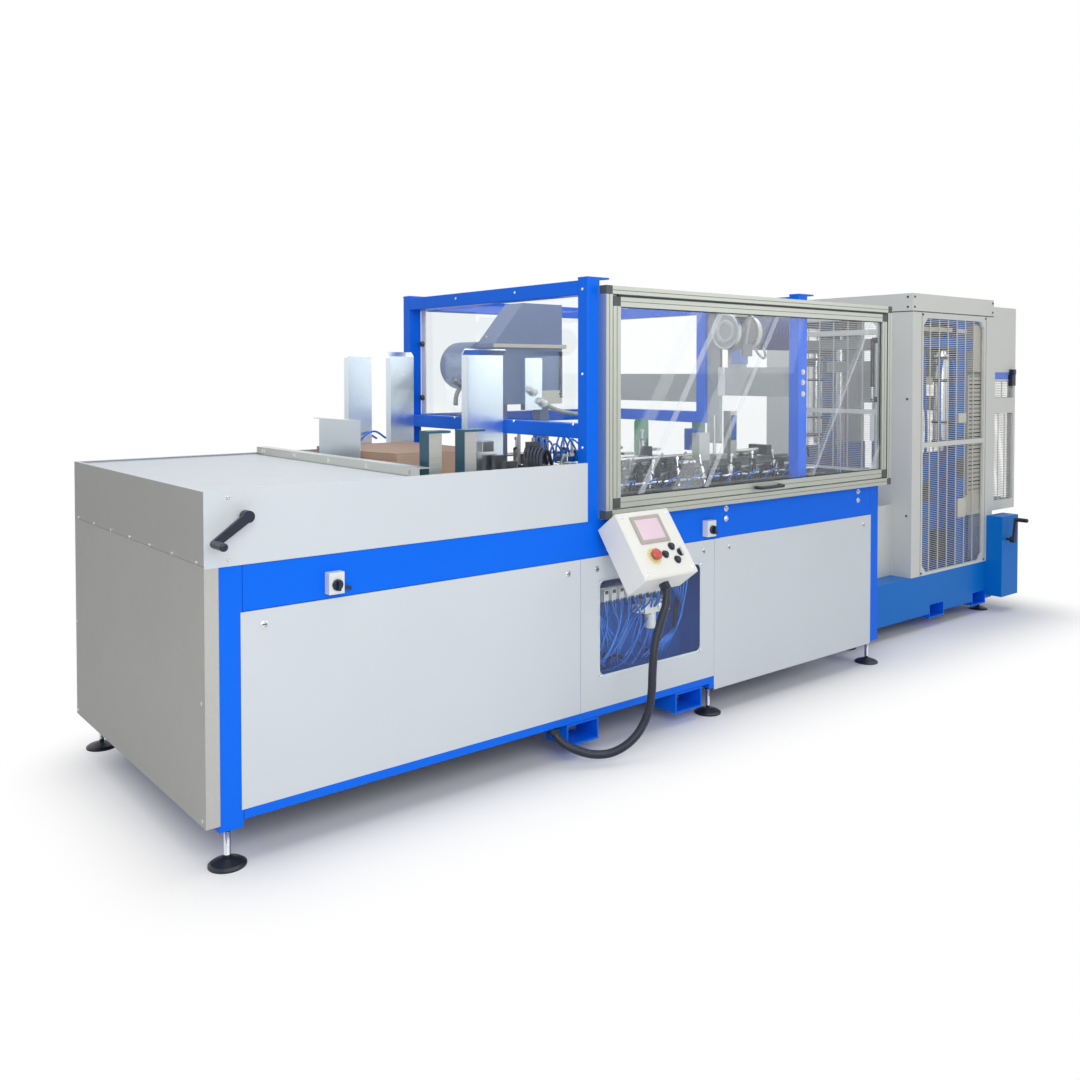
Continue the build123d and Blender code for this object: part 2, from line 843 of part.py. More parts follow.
cylinder = rod("z", strut_body_low, strut_top - strut_seat, strut_centre, strut_body_radius)
bore_top = strut_top - 3 * strut_eye_radius
cylinder -= rod("z", strut_body_low - 1, bore_top, strut_centre, strut_rod_radius + strut_clearance)
add("strut_cylinder", cylinder + strut_eye(strut_top) - strut_bore(strut_top))
strut_shaft = rod("z", strut_low + strut_seat, bore_top - run_gap, strut_centre, strut_rod_radius)
add("strut_rod", strut_shaft + strut_eye(strut_low) - strut_bore(strut_low))
plate_half = strut_plate_height / 2
plate_back = strut_y + strut_plate_depth
plate_end = inner_x1 + strut_plate
frame_plate = block(inner_x1, plate_end, door_y1, plate_back, strut_low - plate_half, strut_low + plate_half)
frame_pin = rod("x", inner_x1 - strut_pin_length, inner_x1, (strut_y, strut_low), strut_pin_radius)
add("strut_bracket", frame_plate + frame_pin)
arm_x0 = leaf_x1 - strut_plate
arm_plate = block(arm_x0, leaf_x1, leaf_y1, plate_back, strut_top - plate_half, strut_top + plate_half)
arm_boss = rod("x", arm_x0 - strut_boss, arm_x0, (strut_y, strut_top), strut_boss_radius)
add("strut_arm", arm_plate + arm_boss)


def crank(x, z, skin, turn):
    """A hand crank on a shaft through the skin: hub, tapered arm and round grip."""
    hub_y1 = skin - crank_standoff
    hub_y0 = hub_y1 - crank_hub_length
    hub = rod("y", hub_y0, hub_y1, (x, z), crank_hub_radius)
    shaft = rod("y", hub_y1, skin + crank_shaft_depth, (x, z), crank_shaft_radius)
    angle = math.radians(turn)
    tip_x = x + crank_arm * math.cos(angle)
    tip_z = z + crank_arm * math.sin(angle)
    across = (-math.sin(angle), math.cos(angle))
    big = crank_hub_radius * 0.8
    small = crank_tip_radius
    web = [
        (x + big * across[0], z + big * across[1]),
        (tip_x + small * across[0], tip_z + small * across[1]),
        (tip_x - small * across[0], tip_z - small * across[1]),
        (x - big * across[0], z - big * across[1]),
    ]
    arm = outline("y", hub_y0, hub_y0 + crank_thickness, web)
    arm += rod("y", hub_y0, hub_y0 + crank_thickness, (tip_x, tip_z), crank_tip_radius)
    grip = rod("y", hub_y0 - grip_length, hub_y0, (tip_x, tip_z), grip_radius)
    grip = fillet(grip.edges().group_by(Axis.Y)[0], grip_radius / 2)
    return hub + shaft + arm + grip


add("infeed_crank", crank(infeed_crank_x, infeed_crank_z, 0, infeed_crank_turn))

# Operator console: a leaning box with rounded edges, held by a bracket on the band.
lean = math.radians(console_lean)
console_face_plane = Plane(
    (console_x + console_width / 2, console_front_y, console_top_z),
    x_dir=(1, 0, 0),
    z_dir=(0, -math.cos(lean), math.sin(lean)),
)
console_middle = console_face_plane.offset(-console_depth / 2) * Pos(0, -console_face / 2, 0)
console = console_middle * Box(console_width, console_face, console_depth)
add("console_box", fillet(console.edges(), console_round))


def on_console(right, down):
    """A place on the console's face, from the middle of its top edge."""
    return console_face_plane * Pos(right, -down, 0)


screen = RectangleRounded(screen_width, screen_height, screen_round)
add("console_controls", extrude(on_console(-8, 88) * screen, screen_rise))
stop_place = on_console(-52, 205)
stop_button = extrude(stop_place * Circle(stop_stem_radius), button_rise)
stop_button += extrude(stop_place * Pos(0, 0, button_rise) * Circle(stop_radius), button_rise)
add("console_controls", stop_button)
for right, down in ((10, 205), (62, 175), (62, 235)):
    add("console_controls", extrude(on_console(right, down) * Circle(button_radius), button_rise))
back_drop = console_depth * math.sin(lean)
back_y = console_front_y + console_depth * math.cos(lean)
bracket_x0 = console_x + (console_width - bracket_width) / 2
back_top_z = console_top_z - back_drop
bracket_slope = math.tan(lean)
bracket_top = back_top_z - 20
bracket_low = bracket_top - bracket_height
bracket_profile = [
    (front_skin, bracket_low),
    (front_skin, bracket_top),
    (back_y - (back_top_z - bracket_top) * bracket_slope, bracket_top),
    (back_y - (back_top_z - bracket_low) * bracket_slope, bracket_low),
]
add("console_bracket", outline("x", bracket_x0, bracket_x0 + bracket_width, bracket_profile))

# Conduit: straight runs joined by arcs, out of the console's underside and up into the strip.
console_low = on_console(0, console_face) * Pos(0, 0, -console_depth / 2)
gland_top = Vector(console_low.position)
gland_plane = Plane(gland_top, x_dir=(1, 0, 0), z_dir=-console_face_plane.y_dir)
add("conduit_glands", extrude(gland_plane * RegularPolygon(gland_radius, 6), gland_length))
conduit_start = gland_top - console_face_plane.y_dir * gland_length
gland_low = strip_bottom - conduit_gland_height
add("conduit_glands", rod("z", gland_low, strip_bottom, conduit_end, conduit_gland_radius))
route = [conduit_start, *[Vector(*point) for point in conduit_points], Vector(*conduit_end, gland_low)]
radii = []
for before, corner, after in zip(route, route[1:], route[2:]):
    turn = math.radians((corner - before).get_angle(after - corner))
    run = min((corner - before).length, (after - corner).length)
    radii.append(arc_share * run / math.tan(turn / 2))
conduit_path = FilletPolyline(*route, radius=radii)
conduit_section = Plane(origin=conduit_path @ 0, z_dir=conduit_path % 0) * Circle(conduit_radius)
conduit = sweep(conduit_section, path=conduit_path)
add("conduit", conduit)
cords.append("conduit")
print("conduit radii", [round(value) for value in radii])
conduit_share = conduit.volume / (conduit_section.area * conduit_path.length)
print("conduit length", conduit_path.length, "volume ratio", conduit_share)

# Forming deck, transport lanes, cross beams and the beam at the operator's side.
deck_z0 = band_top - deck_thickness
deck = block(post_x0, post_x1, front_skin + rail_depth, rear_skin - rail_depth, deck_z0, band_top)
add("forming_deck", deck)
lane_x1 = post_x1 - run_gap
lane_z = band_top + lane_height / 2
lane_top = band_top + lane_height
lanes = []
for y in lane_y:
    lanes.append(tube("x", lane_x0, lane_x1, (y, lane_z), lane_width, lane_height))
beam_y0 = lane_y[0] + lane_width / 2
beam_y1 = lane_y[1] - lane_width / 2
ladder = lanes[0] + lanes[1]
for x in cross_beam_x:
    ladder += tube("y", beam_y0, beam_y1, (x, lane_z), cross_beam_width, cross_beam_height)
rail_half = lane_rail_width / 2
near_lane = lane_y[0]
rail_z1 = lane_top + lane_rail_height
ladder += block(*lane_rail, near_lane - rail_half, near_lane + rail_half, lane_top, rail_z1)
add("transport_lanes", ladder)
side_beam_z = band_top + side_beam_height / 2
add("transport_lanes", tube("x", *side_beam, (side_beam_y, side_beam_z), side_beam_width, side_beam_height))
for x in green_plate_x:
    half = green_plate_thickness / 2
    plate_y = (lane_y[1] - half, lane_y[1] + half)
    plate = block(x, x + green_plate_width, *plate_y, lane_top, lane_top + green_plate_height)
    add("green_guides", fillet(plate.edges().filter_by(Axis.Y).group_by(Axis.Z)[-1], green_plate_round))

# Fittings on the near lane's rail: a cylinder block, and a stop post with its rod.
fitting_y = (near_lane - fitting_depth / 2, near_lane + fitting_depth / 2)
add("lane_fittings", block(*cylinder_block, *fitting_y, rail_z1, rail_z1 + cylinder_block_height))
stop_piece = block(*stop_post, *fitting_y, rail_z1, rail_z1 + stop_post_height)
stop_piece += rod("x", stop_post[1], stop_rod_end, (near_lane, rail_z1 + stop_rod_rise), stop_rod_radius)
add("lane_fittings", stop_piece)

# Blank feeder: cabinet, ledge and hood with a sloping end, a drum behind, all on two legs.
feeder_y0 = rear_skin - guard_post - feeder_back - feeder_depth
feeder_y1 = feeder_y0 + feeder_depth
hood_base = feeder_ledge_z + feeder_ledge_height
feeder = block(feeder_x0, feeder_x1, feeder_y0, feeder_y1, feeder_z0, feeder_ledge_z)
ledge_x0 = feeder_x0 - feeder_ledge_reach
ledge_x1 = feeder_x1 + feeder_ledge_reach
feeder += block(ledge_x0, ledge_x1, feeder_y0 - feeder_ledge_reach, feeder_y1, feeder_ledge_z, hood_base)
hood_profile = [
    (feeder_x0, hood_base),
    (feeder_x0 + feeder_slope, feeder_top),
    (feeder_x1, feeder_top),
    (feeder_x1, hood_base),
]
feeder += outline("y", feeder_y0, feeder_y1, hood_profile)
drum_y1 = rear_skin - guard_post - drum_gap
drum = rod("y", feeder_y1, drum_y1, (drum_x, drum_z), drum_radius)
feeder += fillet(drum.edges().group_by(Axis.Y)[-1], drum_round)
feeder_y = (feeder_y0 + feeder_y1) / 2
for x in (feeder_x0 + feeder_leg_inset, feeder_x1 - feeder_leg_inset):
    feeder += tube("z", band_top, feeder_z0, (x, feeder_y), guard_rail, guard_rail)
add("blank_feeder", feeder)

# Partition across the cage: a beam behind the inner post, a beam and a plate before it.
partition_x = (mid_x - partition_thickness / 2, mid_x + partition_thickness / 2)
add("partition_beams", block(*partition_x, inner_y1, rail_y1, rear_beam_z0, rear_beam_z1))
plate_x = (mid_x - partition_plate_thickness / 2, mid_x + partition_plate_thickness / 2)
plate_y0 = inner_post_y - partition_plate_depth
partition = block(*partition_x, rail_y0, plate_y0, front_beam_z0, front_beam_z1)
partition += block(*plate_x, plate_y0, inner_post_y, partition_plate_z0, rail_top - guard_rail)
saddle_x = (mid_x - saddle_length / 2, mid_x + saddle_length / 2)
saddle_y = (motor_y - saddle_width / 2, motor_y + saddle_width / 2)
saddle = block(*saddle_x, *saddle_y, front_beam_z1, front_beam_z1 + saddle_height)
saddle -= rod("x", saddle_x[0] - 1, saddle_x[1] + 1, (motor_y, motor_z), motor_steps[1][1])
add("partition_beams", partition + saddle)

# Gear motor in the saddle, a row of round steps.
step_x = motor_x0
gear_motor = None
for length, radius in motor_steps:
    step = rod("x", step_x, step_x + length, (motor_y, motor_z), radius)
    gear_motor = step if gear_motor is None else gear_motor + step
    step_x += length
add("gear_motor", gear_motor)

# Forming tower: blue base trough with its fork sleeves let in, corner posts and the hood.
hood_z = tower_top - hood_height
wall = tower_base_wall
trough = block(base_length, tower_x1, tower_y0, tower_y1, tower_base_bottom, tower_floor)
hollow_x = (base_length + wall, tower_x1 - wall)
trough -= block(*hollow_x, tower_y0 + wall, tower_y1 - wall, tower_base_bottom - 1, tower_floor - wall)
for x in tower_fork_x:
    half = fork_width / 2
    for y0, y1 in ((tower_y0 - 1, tower_y0 + wall + 1), (tower_y1 - wall - 1, tower_y1 + 1)):
        trough -= block(x - half, x + half, y0, y1, tower_base_bottom - 1, fork_top)
add("tower_base", trough)
post_near = tower_y0 + mesh_depth
post_far = tower_y1 - mesh_depth
half_post = tower_post / 2
for x in (tower_x0 + mesh_depth + half_post, tower_x1 - half_post):
    for y in (post_near + half_post, post_far - half_post):
        add("tower_posts", tube("z", tower_floor, hood_z, (x, y), tower_post, tower_post))
hood = block(tower_x0, tower_x1, tower_y0, tower_y1, hood_z, tower_top)
hood_inner = (tower_x0 + sheet, tower_x1 - sheet, tower_y0 + sheet, tower_y1 - sheet)
add("tower_hood", hood - block(*hood_inner, hood_z - 1, tower_top - sheet))
for x in (base_length + tower_foot_inset[0], tower_x1 - tower_foot_inset[1]):
    for y in (post_near + half_post, post_far - half_post):
        add("levelling_feet", foot(x, y, tower_floor - wall))


def corner_block(x0, x1, z0, z1):
    """A flat rectangle between its limits."""
    return Pos((x0 + x1) / 2, (z0 + z1) / 2) * Rectangle(x1 - x0, z1 - z0)


def mesh_sheet(width, height, windows, bars, rails):
    """A guard sheet drawn flat from its lower corner: cut-cornered windows, bars and rails behind."""
    sheet_face = corner_block(0, width, 0, height)
    for x0, x1, z0, z1, cut in windows:
        hole = Rectangle(x1 - x0, z1 - z0)
        sheet_face -= Pos((x0 + x1) / 2, (z0 + z1) / 2) * chamfer(hole.vertices(), cut)
    panel = extrude(sheet_face, mesh_depth)
    for x0, x1, z in rails:
        panel += extrude(corner_block(x0, x1, z, z + mesh_rail), mesh_depth)
    for (x0, x1, z0, z1, cut), count in zip(windows, bars):
        pitch = (x1 - x0) / (count + 1)
        half_bar = mesh_bar_width / 2
        for i in range(count):
            x = x0 + (i + 1) * pitch
            panel += extrude(corner_block(x - half_bar, x + half_bar, z0, z1), mesh_bar_depth)
    return panel


def facing(x, y, z, along, outward):
    """The plane of a guard sheet's back face, with its lower corner at the origin."""
    return Plane((x, y, z), x_dir=along, z_dir=outward)


# Tower sheets: front and rear alike, and the infeed wall with its entry.
wall_height = hood_z - tower_floor
window_z = (window_sill, wall_height - window_head)
side_window = (front_margin, tower_length - front_margin, *window_z, mesh_cut)
front_rail = (front_margin, tower_length - front_margin, front_rail_z - tower_floor)
front_sheet = mesh_sheet(tower_length, wall_height, [side_window], [front_bars], [front_rail])
add("tower_meshes", facing(tower_x0, post_near, tower_floor, (1, 0, 0), (0, -1, 0)) * front_sheet)
add("tower_meshes", facing(tower_x1, post_far, tower_floor, (-1, 0, 0), (0, 1, 0)) * front_sheet)
entry_x0 = post_far - entry_y1
entry_x1 = post_far - entry_y0
entry_z = entry_top - tower_floor
infeed_window_x = (entry_x0 + infeed_margin, entry_x1 - infeed_margin)
infeed_window = (*infeed_window_x, entry_z + infeed_margin, window_z[1], mesh_cut)
infeed_rails = [(*infeed_window_x, z - tower_floor) for z in infeed_rail_z]
infeed_sheet = mesh_sheet(post_far - post_near, wall_height, [infeed_window], [infeed_bars], infeed_rails)
infeed_sheet -= block(entry_x0, entry_x1, -1, entry_z, -1, mesh_depth + 1)
infeed_plane = facing(tower_x0 + mesh_depth, post_far, tower_floor, (0, -1, 0), (-1, 0, 0))
add("tower_meshes", infeed_plane * infeed_sheet)

# Two thin sheets that lead the blank into the entry.
transfer_x0 = tower_x0 - transfer_length
transfer_top = tower_floor + transfer_height
for y in transfer_y:
    lead = block(transfer_x0, tower_x0, y, y + transfer_thickness, tower_floor, transfer_top)
    add("transfer_sheets", fillet(lead.edges().filter_by(Axis.Y).group_by(Axis.X)[0], transfer_round))

# Forming press: four columns, the bed with its die opening, the head, and the ram.
press_x = (tower_x0 + tower_x1) / 2
press_y = (tower_y0 + tower_y1) / 2
column_spots = []
for sx in (-0.5, 0.5):
    for sy in (-0.5, 0.5):
        column_spots.append((press_x + sx * column_pitch_x, press_y + sy * column_pitch_y))
half_x = press_plate_x / 2
half_y = press_plate_y / 2
frame_y0 = post_near + frame_gap
frame_y1 = post_near + tower_post
plate_inner = frame_y1 + side_plate_thickness
beam_x0 = tower_x0 + mesh_depth + tower_post
beam_x1 = tower_x1 - tower_post
top_beam_z1 = hood_z - top_beam_drop
top_beam_z0 = top_beam_z1 - top_beam_height
head_z1 = hood_z - head_beam_drop
head_z0 = head_z1 - head_beam_height


def mirrored(shape):
    """The same shape on the far side of the press."""
    return mirror(shape, about=Plane((0, press_y, 0), x_dir=(1, 0, 0), z_dir=(0, 1, 0)))


# Blue side frames: an upright, the top and head beams, and the plate along the lower half.
upright_x = (tower_x0 + frame_x0, tower_x0 + frame_x1)
side_frame = block(*upright_x, frame_y0, frame_y1, tower_floor, top_beam_z0)
side_frame += block(beam_x0, beam_x1, frame_y0, frame_y1, top_beam_z0, top_beam_z1)
side_frame += block(beam_x0, tower_x0 + head_beam_end, frame_y0, frame_y1, head_z0, head_z1)
plate_x0 = tower_x0 + mesh_depth
side_frame += block(plate_x0, tower_x1, frame_y1, plate_inner, tower_floor, side_plate_top)
add("press_frame", side_frame, mirrored(side_frame))

# Guide cylinders that hang from the head beams.
frame_y = (frame_y0 + frame_y1) / 2
hang = (tower_x0 + cylinder_x, frame_y)
cylinder_z1 = head_z0 - cylinder_neck
cylinder_z0 = cylinder_z1 - cylinder_length
hanging = rod("z", cylinder_z1, head_z0, hang, cylinder_neck_radius)
hanging += rod("z", cylinder_z0, cylinder_z1, hang, min(cylinder_radius, (frame_y1 - frame_y0) / 2))
hanging += rod("z", cylinder_z0 - cylinder_rod_length, cylinder_z0, hang, cylinder_rod_radius)
add("press_cylinders", hanging, mirrored(hanging))

# Covers between the upright and the corner post: a cabinet, a ribbed cover and a box.
cabinet_x = (tower_x0 + cover_x[0], tower_x0 + cover_x[1])
add("press_covers", block(*cabinet_x, frame_y0, frame_y1, cover_z[0], cover_z[1]))
ribbed_y = (frame_y0 + ribbed_inset, frame_y1 - ribbed_inset)
low_cover = block(tower_x0 + ribbed_x0, beam_x1, *ribbed_y, *ribbed_z)
low_cover += block(upright_x[1], beam_x1, frame_y0, frame_y1, lower_cover_z, ribbed_z[0])
add("press_covers", low_cover)

die_half_x = die_opening_x / 2
die_half_y = die_opening_y / 2
far_inner = tower_y0 + tower_y1 - plate_inner
bed = block(press_x - half_x, press_x + half_x, plate_inner, far_inner, bed_z, bed_z + bed_thickness)
die_x = (press_x - die_half_x, press_x + die_half_x)
die_y = (press_y - die_half_y, press_y + die_half_y)
add("press_plates", bed - block(*die_x, *die_y, bed_z - 1, bed_z + bed_thickness + 1))
far_frame = tower_y0 + tower_y1 - frame_y1
add("press_plates", block(press_x - half_x, press_x + half_x, frame_y1, far_frame, head_z0, head_z1))
for spot in column_spots:
    add("press_columns", rod("z", bed_z + bed_thickness, head_z0, spot, column_radius))
ram_z = hood_z - ram_drop
ram_z1 = ram_z + ram_thickness
ram = block(press_x - half_x, press_x + half_x, press_y - half_y, press_y + half_y, ram_z, ram_z1)
for spot in column_spots:
    ram -= rod("z", ram_z - 1, ram_z1 + 1, spot, column_radius + ram_bush_clearance)
plunger_half_x = plunger_x / 2
plunger_half_y = plunger_y / 2
punch_x = (press_x - plunger_half_x, press_x + plunger_half_x)
punch_y = (press_y - plunger_half_y, press_y + plunger_half_y)
plunger = block(*punch_x, *punch_y, ram_z - plunger_length, ram_z)
plunger = fillet(plunger.edges().filter_by(Axis.Z), plunger_round)
add("forming_ram", ram + plunger)

# Drive box beside the tower, with its hand crank.
side_crank_x = tower_x1 - side_crank_back
side_box_x = (tower_x1 - side_box_back, tower_x1 + side_box_reach)
drive = block(*side_box_x, side_box_y0, tower_y0, side_box_bottom, side_box_top)
crank_bore_end = side_box_y0 + crank_shaft_depth + 1
side_crank_at = (side_crank_x, side_crank_z)
drive -= rod("y", side_box_y0 - 1, crank_bore_end, side_crank_at, crank_shaft_radius + shaft_clearance)
add("drive_box", drive)
add("side_crank", crank(side_crank_x, side_crank_z, side_box_y0, side_crank_turn))

# Outfeed guard: front, end and rear sheets with small and large mesh windows under a roof.
outfeed_x1 = tower_x1 + outfeed_length
guard_height = outfeed_z1 - outfeed_roof - outfeed_z0
end_width = outfeed_y1 - tower_y0 - 2 * mesh_depth


def outfeed_sheet(width, bars):
    """An outfeed guard sheet with its low and high windows."""
    windows = []
    rails = []
    for z0, z1 in (outfeed_low_window, outfeed_high_window):
        span = (outfeed_margin, width - outfeed_margin)
        windows.append((*span, z0 - outfeed_z0, z1 - outfeed_z0, outfeed_cut))
    return mesh_sheet(width, guard_height, windows, [bars, 1], rails)


side_guard = outfeed_sheet(outfeed_length, outfeed_side_bars)
near_plane = facing(tower_x1, tower_y0 + mesh_depth, outfeed_z0, (1, 0, 0), (0, -1, 0))
far_plane = facing(outfeed_x1, outfeed_y1 - mesh_depth, outfeed_z0, (-1, 0, 0), (0, 1, 0))
end_plane = facing(outfeed_x1 - mesh_depth, tower_y0 + mesh_depth, outfeed_z0, (0, 1, 0), (1, 0, 0))
outfeed = near_plane * side_guard + far_plane * side_guard
outfeed += end_plane * outfeed_sheet(end_width, outfeed_end_bars)
outfeed += block(tower_x1, outfeed_x1, tower_y0, outfeed_y1, outfeed_z1 - outfeed_roof, outfeed_z1)
add("outfeed_guard", outfeed)

# Write each node, with the part's origin at the bottom centre of its box.
os.makedirs("parts", exist_ok=True)
solids_of = {name: [one for item in items for one in item.solids()] for name, items in nodes.items()}
stiff = [one for name, items in solids_of.items() if name not in cords for one in items]
box = Compound(children=stiff).bounding_box()
centre_x = (box.min.X + box.max.X) / 2
centre_y = (box.min.Y + box.max.Y) / 2
for name, items in solids_of.items():
    moved = [Pos(-centre_x, -centre_y, 0) * one for one in items]
    export_step(Compound(children=moved), "parts/" + name + ".step")
print(len(nodes), "nodes")
print("machine centre", centre_x, centre_y)
print("box", box)
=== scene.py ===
# %% [markdown]
# # A tray erector, dressed for a picture
# The solids of the machine come from its model: base, magazine, guard, tower.
# This lesson gives them paint, metal and plastic, and adds what is too fine for
# the model: wires, screws, profile grooves, air lines and the console's face.
# Every new piece is worked out with numpy as a surface, then put into a mesh.

# %% Load the solids and keep their box
import json
import math
import bmesh
import bpy
import numpy as np
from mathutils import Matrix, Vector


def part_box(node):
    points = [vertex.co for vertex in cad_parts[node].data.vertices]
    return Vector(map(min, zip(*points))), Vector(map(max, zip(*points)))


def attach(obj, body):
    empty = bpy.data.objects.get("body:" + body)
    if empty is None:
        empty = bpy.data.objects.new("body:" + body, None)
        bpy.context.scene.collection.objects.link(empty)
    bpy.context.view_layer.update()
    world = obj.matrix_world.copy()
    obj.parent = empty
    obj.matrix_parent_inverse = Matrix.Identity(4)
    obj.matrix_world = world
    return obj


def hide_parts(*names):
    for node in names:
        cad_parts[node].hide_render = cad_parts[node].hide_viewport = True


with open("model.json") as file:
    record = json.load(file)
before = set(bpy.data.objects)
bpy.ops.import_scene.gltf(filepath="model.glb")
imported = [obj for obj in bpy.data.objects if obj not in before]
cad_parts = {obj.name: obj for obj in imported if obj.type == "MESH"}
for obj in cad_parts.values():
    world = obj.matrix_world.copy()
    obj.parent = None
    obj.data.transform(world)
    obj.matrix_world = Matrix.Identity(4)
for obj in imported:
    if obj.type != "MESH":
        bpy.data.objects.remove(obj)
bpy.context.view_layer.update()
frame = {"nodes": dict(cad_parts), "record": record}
nodes = frame["nodes"]

# %% [markdown]
# Sizes on a machine drawing are in millimetres from one corner. The end panel
# starts at that corner, so its box tells where the corner lies in this frame.

# %% Millimetres from the machine's corner
corner = np.array(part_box("end_panel")[0])
corner[2] = 0.0


def at(x, y, z):
    """A drawing place in millimetres as a point of the scene in metres."""
    return corner + np.array([x, y, z]) / 1000.0


print("corner", corner.round(4))

# %% [markdown]
# The photograph was taken from a low stand beside the infeed end, with a lens
# that sees about 56 degrees. The picture is a crop, so the lens is shifted a little.

# %% Camera
camera_data = bpy.data.cameras.new("camera")
camera_data.sensor_width = 36.0
camera_data.lens = 33.914
camera_data.shift_x = -0.01955
camera_data.shift_y = -0.13083
camera_data.clip_end = 200.0
camera = bpy.data.objects.new("camera", camera_data)
camera.location = at(-1152, -3066, 1550)
camera.rotation_euler = (math.radians(90 - 1.402), 0.0, math.radians(-40.022))
bpy.context.scene.collection.objects.link(camera)
bpy.context.scene.camera = camera
print("camera", [round(v, 3) for v in camera.location])

# %% [markdown]
# A piece of the scene is one mesh. The helper below takes arrays of points and
# faces, joins them into a mesh and ties the piece to the body that carries it.

# %% Put computed points and faces into a piece
def piece(name, shapes, body="machine", smooth=False, edge=0.0):
    """Joins shapes, each a pair of points (n, 3) and quads (m, 4), into one mesh. Points
    that share one place, as at a pole, become one, and edge is the width of a soft edge."""
    starts = np.cumsum([0] + [len(points) for points, _ in shapes])
    points = np.concatenate([points for points, _ in shapes])
    quads = np.concatenate([faces + start for (_, faces), start in zip(shapes, starts)])
    mesh = bpy.data.meshes.new(name)
    mesh.from_pydata(points.tolist(), [], quads.tolist())
    work = bmesh.new()
    work.from_mesh(mesh)
    bmesh.ops.remove_doubles(work, verts=work.verts, dist=1e-7)
    work.to_mesh(mesh)
    work.free()
    mesh.polygons.foreach_set("use_smooth", np.full(len(mesh.polygons), smooth))
    obj = bpy.data.objects.new(name, mesh)
    bpy.context.scene.collection.objects.link(obj)
    if edge:
        soft_edge = obj.modifiers.new("soft_edge", "BEVEL")
        soft_edge.width = edge
        soft_edge.segments = 2
        soft_edge.limit_method = "ANGLE"
        soft_edge.angle_limit = math.radians(50)
    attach(obj, body)
    print(name, len(mesh.vertices), "points", len(mesh.polygons), "faces")
    return obj


# %% [markdown]
# Three surfaces make nearly every piece: a box between two corners, a profile
# turned about an axis, and a ring carried along a path.

# %% Surfaces worked out as arrays
box_quads = np.array([[0, 3, 2, 1], [4, 5, 6, 7], [0, 1, 5, 4], [1, 2, 6, 5], [2, 3, 7, 6], [3, 0, 4, 7]])


def slab(low, high):
    """A box: the eight corners are every mix of the low and high limits, in millimetres."""
    (x0, y0, z0), (x1, y1, z1) = low, high
    ring = np.array([[x0, y0], [x1, y0], [x1, y1], [x0, y1]], float)
    points = np.concatenate([np.c_[ring, np.full(4, z0)], np.c_[ring, np.full(4, z1)]])
    return points, box_quads


def grid_quads(rows, columns, closed=True):
    """Faces of a grid of rows by columns. A closed grid joins its last column to its first."""
    i, j = np.meshgrid(np.arange(rows - 1), np.arange(columns if closed else columns - 1), indexing="ij")
    k = (j + 1) % columns
    return np.stack([i * columns + j, i * columns + k, (i + 1) * columns + k, (i + 1) * columns + j], -1).reshape(-1, 4)


def turned(profile, sides=24):
    """A profile of (radius, height) turned about Z. A point is radius times the
    cosine and sine of its angle, with its height. The ends close on their centres."""
    profile = np.asarray(profile, float)
    angle = np.arange(sides) * 2 * np.pi / sides
    ring = np.stack([np.cos(angle), np.sin(angle)], -1)
    points = np.concatenate([profile[:, :1, None] * ring[None], np.repeat(profile[:, 1:, None], sides, 1)], -1)
    return points.reshape(-1, 3), grid_quads(len(profile), sides)


def tangent_frames(path):
    """Two directions across each point of a path, turned as little as possible along it."""
    tangent = np.gradient(path, axis=0)
    tangent /= np.linalg.norm(tangent, axis=1, keepdims=True)
    side = np.cross(tangent[0], [0.0, 0.0, 1.0] if abs(tangent[0][2]) < 0.9 else [1.0, 0.0, 0.0])
    sides = []
    for direction in tangent:
        side = side - direction * (side @ direction)
        side = side / np.linalg.norm(side)
        sides.append(side)
    sides = np.array(sides)
    return sides, np.cross(tangent, sides)


def carried(path, radius, sides=10):
    """A ring carried along a path: path point plus radius times (cosine of the one
    direction across, sine of the other). Both ends are drawn in to a point."""
    path = np.asarray(path, float)
    radius = np.broadcast_to(np.asarray(radius, float), len(path)).copy()
    path = np.concatenate([path[:1], path, path[-1:]])
    radius = np.concatenate([[0.0], radius, [0.0]])
    inner = path[1:-1]
    a, b = tangent_frames(inner)
    a, b = (np.concatenate([v[:1], v, v[-1:]]) for v in (a, b))
    angle = np.arange(sides) * 2 * np.pi / sides
    points = path[:, None] + radius[:, None, None] * (
        np.cos(angle)[None, :, None] * a[:, None] + np.sin(angle)[None, :, None] * b[:, None])
    return points.reshape(-1, 3), grid_quads(len(path), sides)


def smooth_path(points, count=24):
    """A smooth line through a few points: each stretch is a cubic whose slope at a
    point is half the step from the point before it to the point after it."""
    p = np.asarray(points, float)
    p = np.concatenate([[2 * p[0] - p[1]], p, [2 * p[-1] - p[-2]]])
    t = np.linspace(0, 1, count, endpoint=False)[:, None]
    spans = [
        0.5 * (2 * b + (c - a) * t + (2 * a - 5 * b + 4 * c - d) * t**2 + (3 * b - a - 3 * c + d) * t**3)
        for a, b, c, d in zip(p, p[1:], p[2:], p[3:])
    ]
    return np.concatenate(spans + [p[-2:-1]])


def placed(shape, places, axis=(0, 0, 1), up=(0, 0, 1)):
    """Copies of a shape at several places, its Z turned to the axis given."""
    points, quads = shape
    z = np.asarray(axis, float) / np.linalg.norm(axis)
    x = np.cross(up, z) if abs(z @ np.asarray(up, float)) < 0.9 else np.array([1.0, 0.0, 0.0])
    x = x - z * (x @ z)
    x /= np.linalg.norm(x)
    turn = np.stack([x, np.cross(z, x), z], 1)
    places = np.atleast_2d(np.asarray(places, float))
    moved = (points @ turn.T)[None] + places[:, None]
    faces = quads[None] + (np.arange(len(places)) * len(points))[:, None, None]
    return moved.reshape(-1, 3), faces.reshape(-1, 4)


def drawn(shapes):
    """Shapes in drawing millimetres as shapes of the scene in metres."""
    return [(corner + points / 1000.0, quads) for points, quads in shapes]


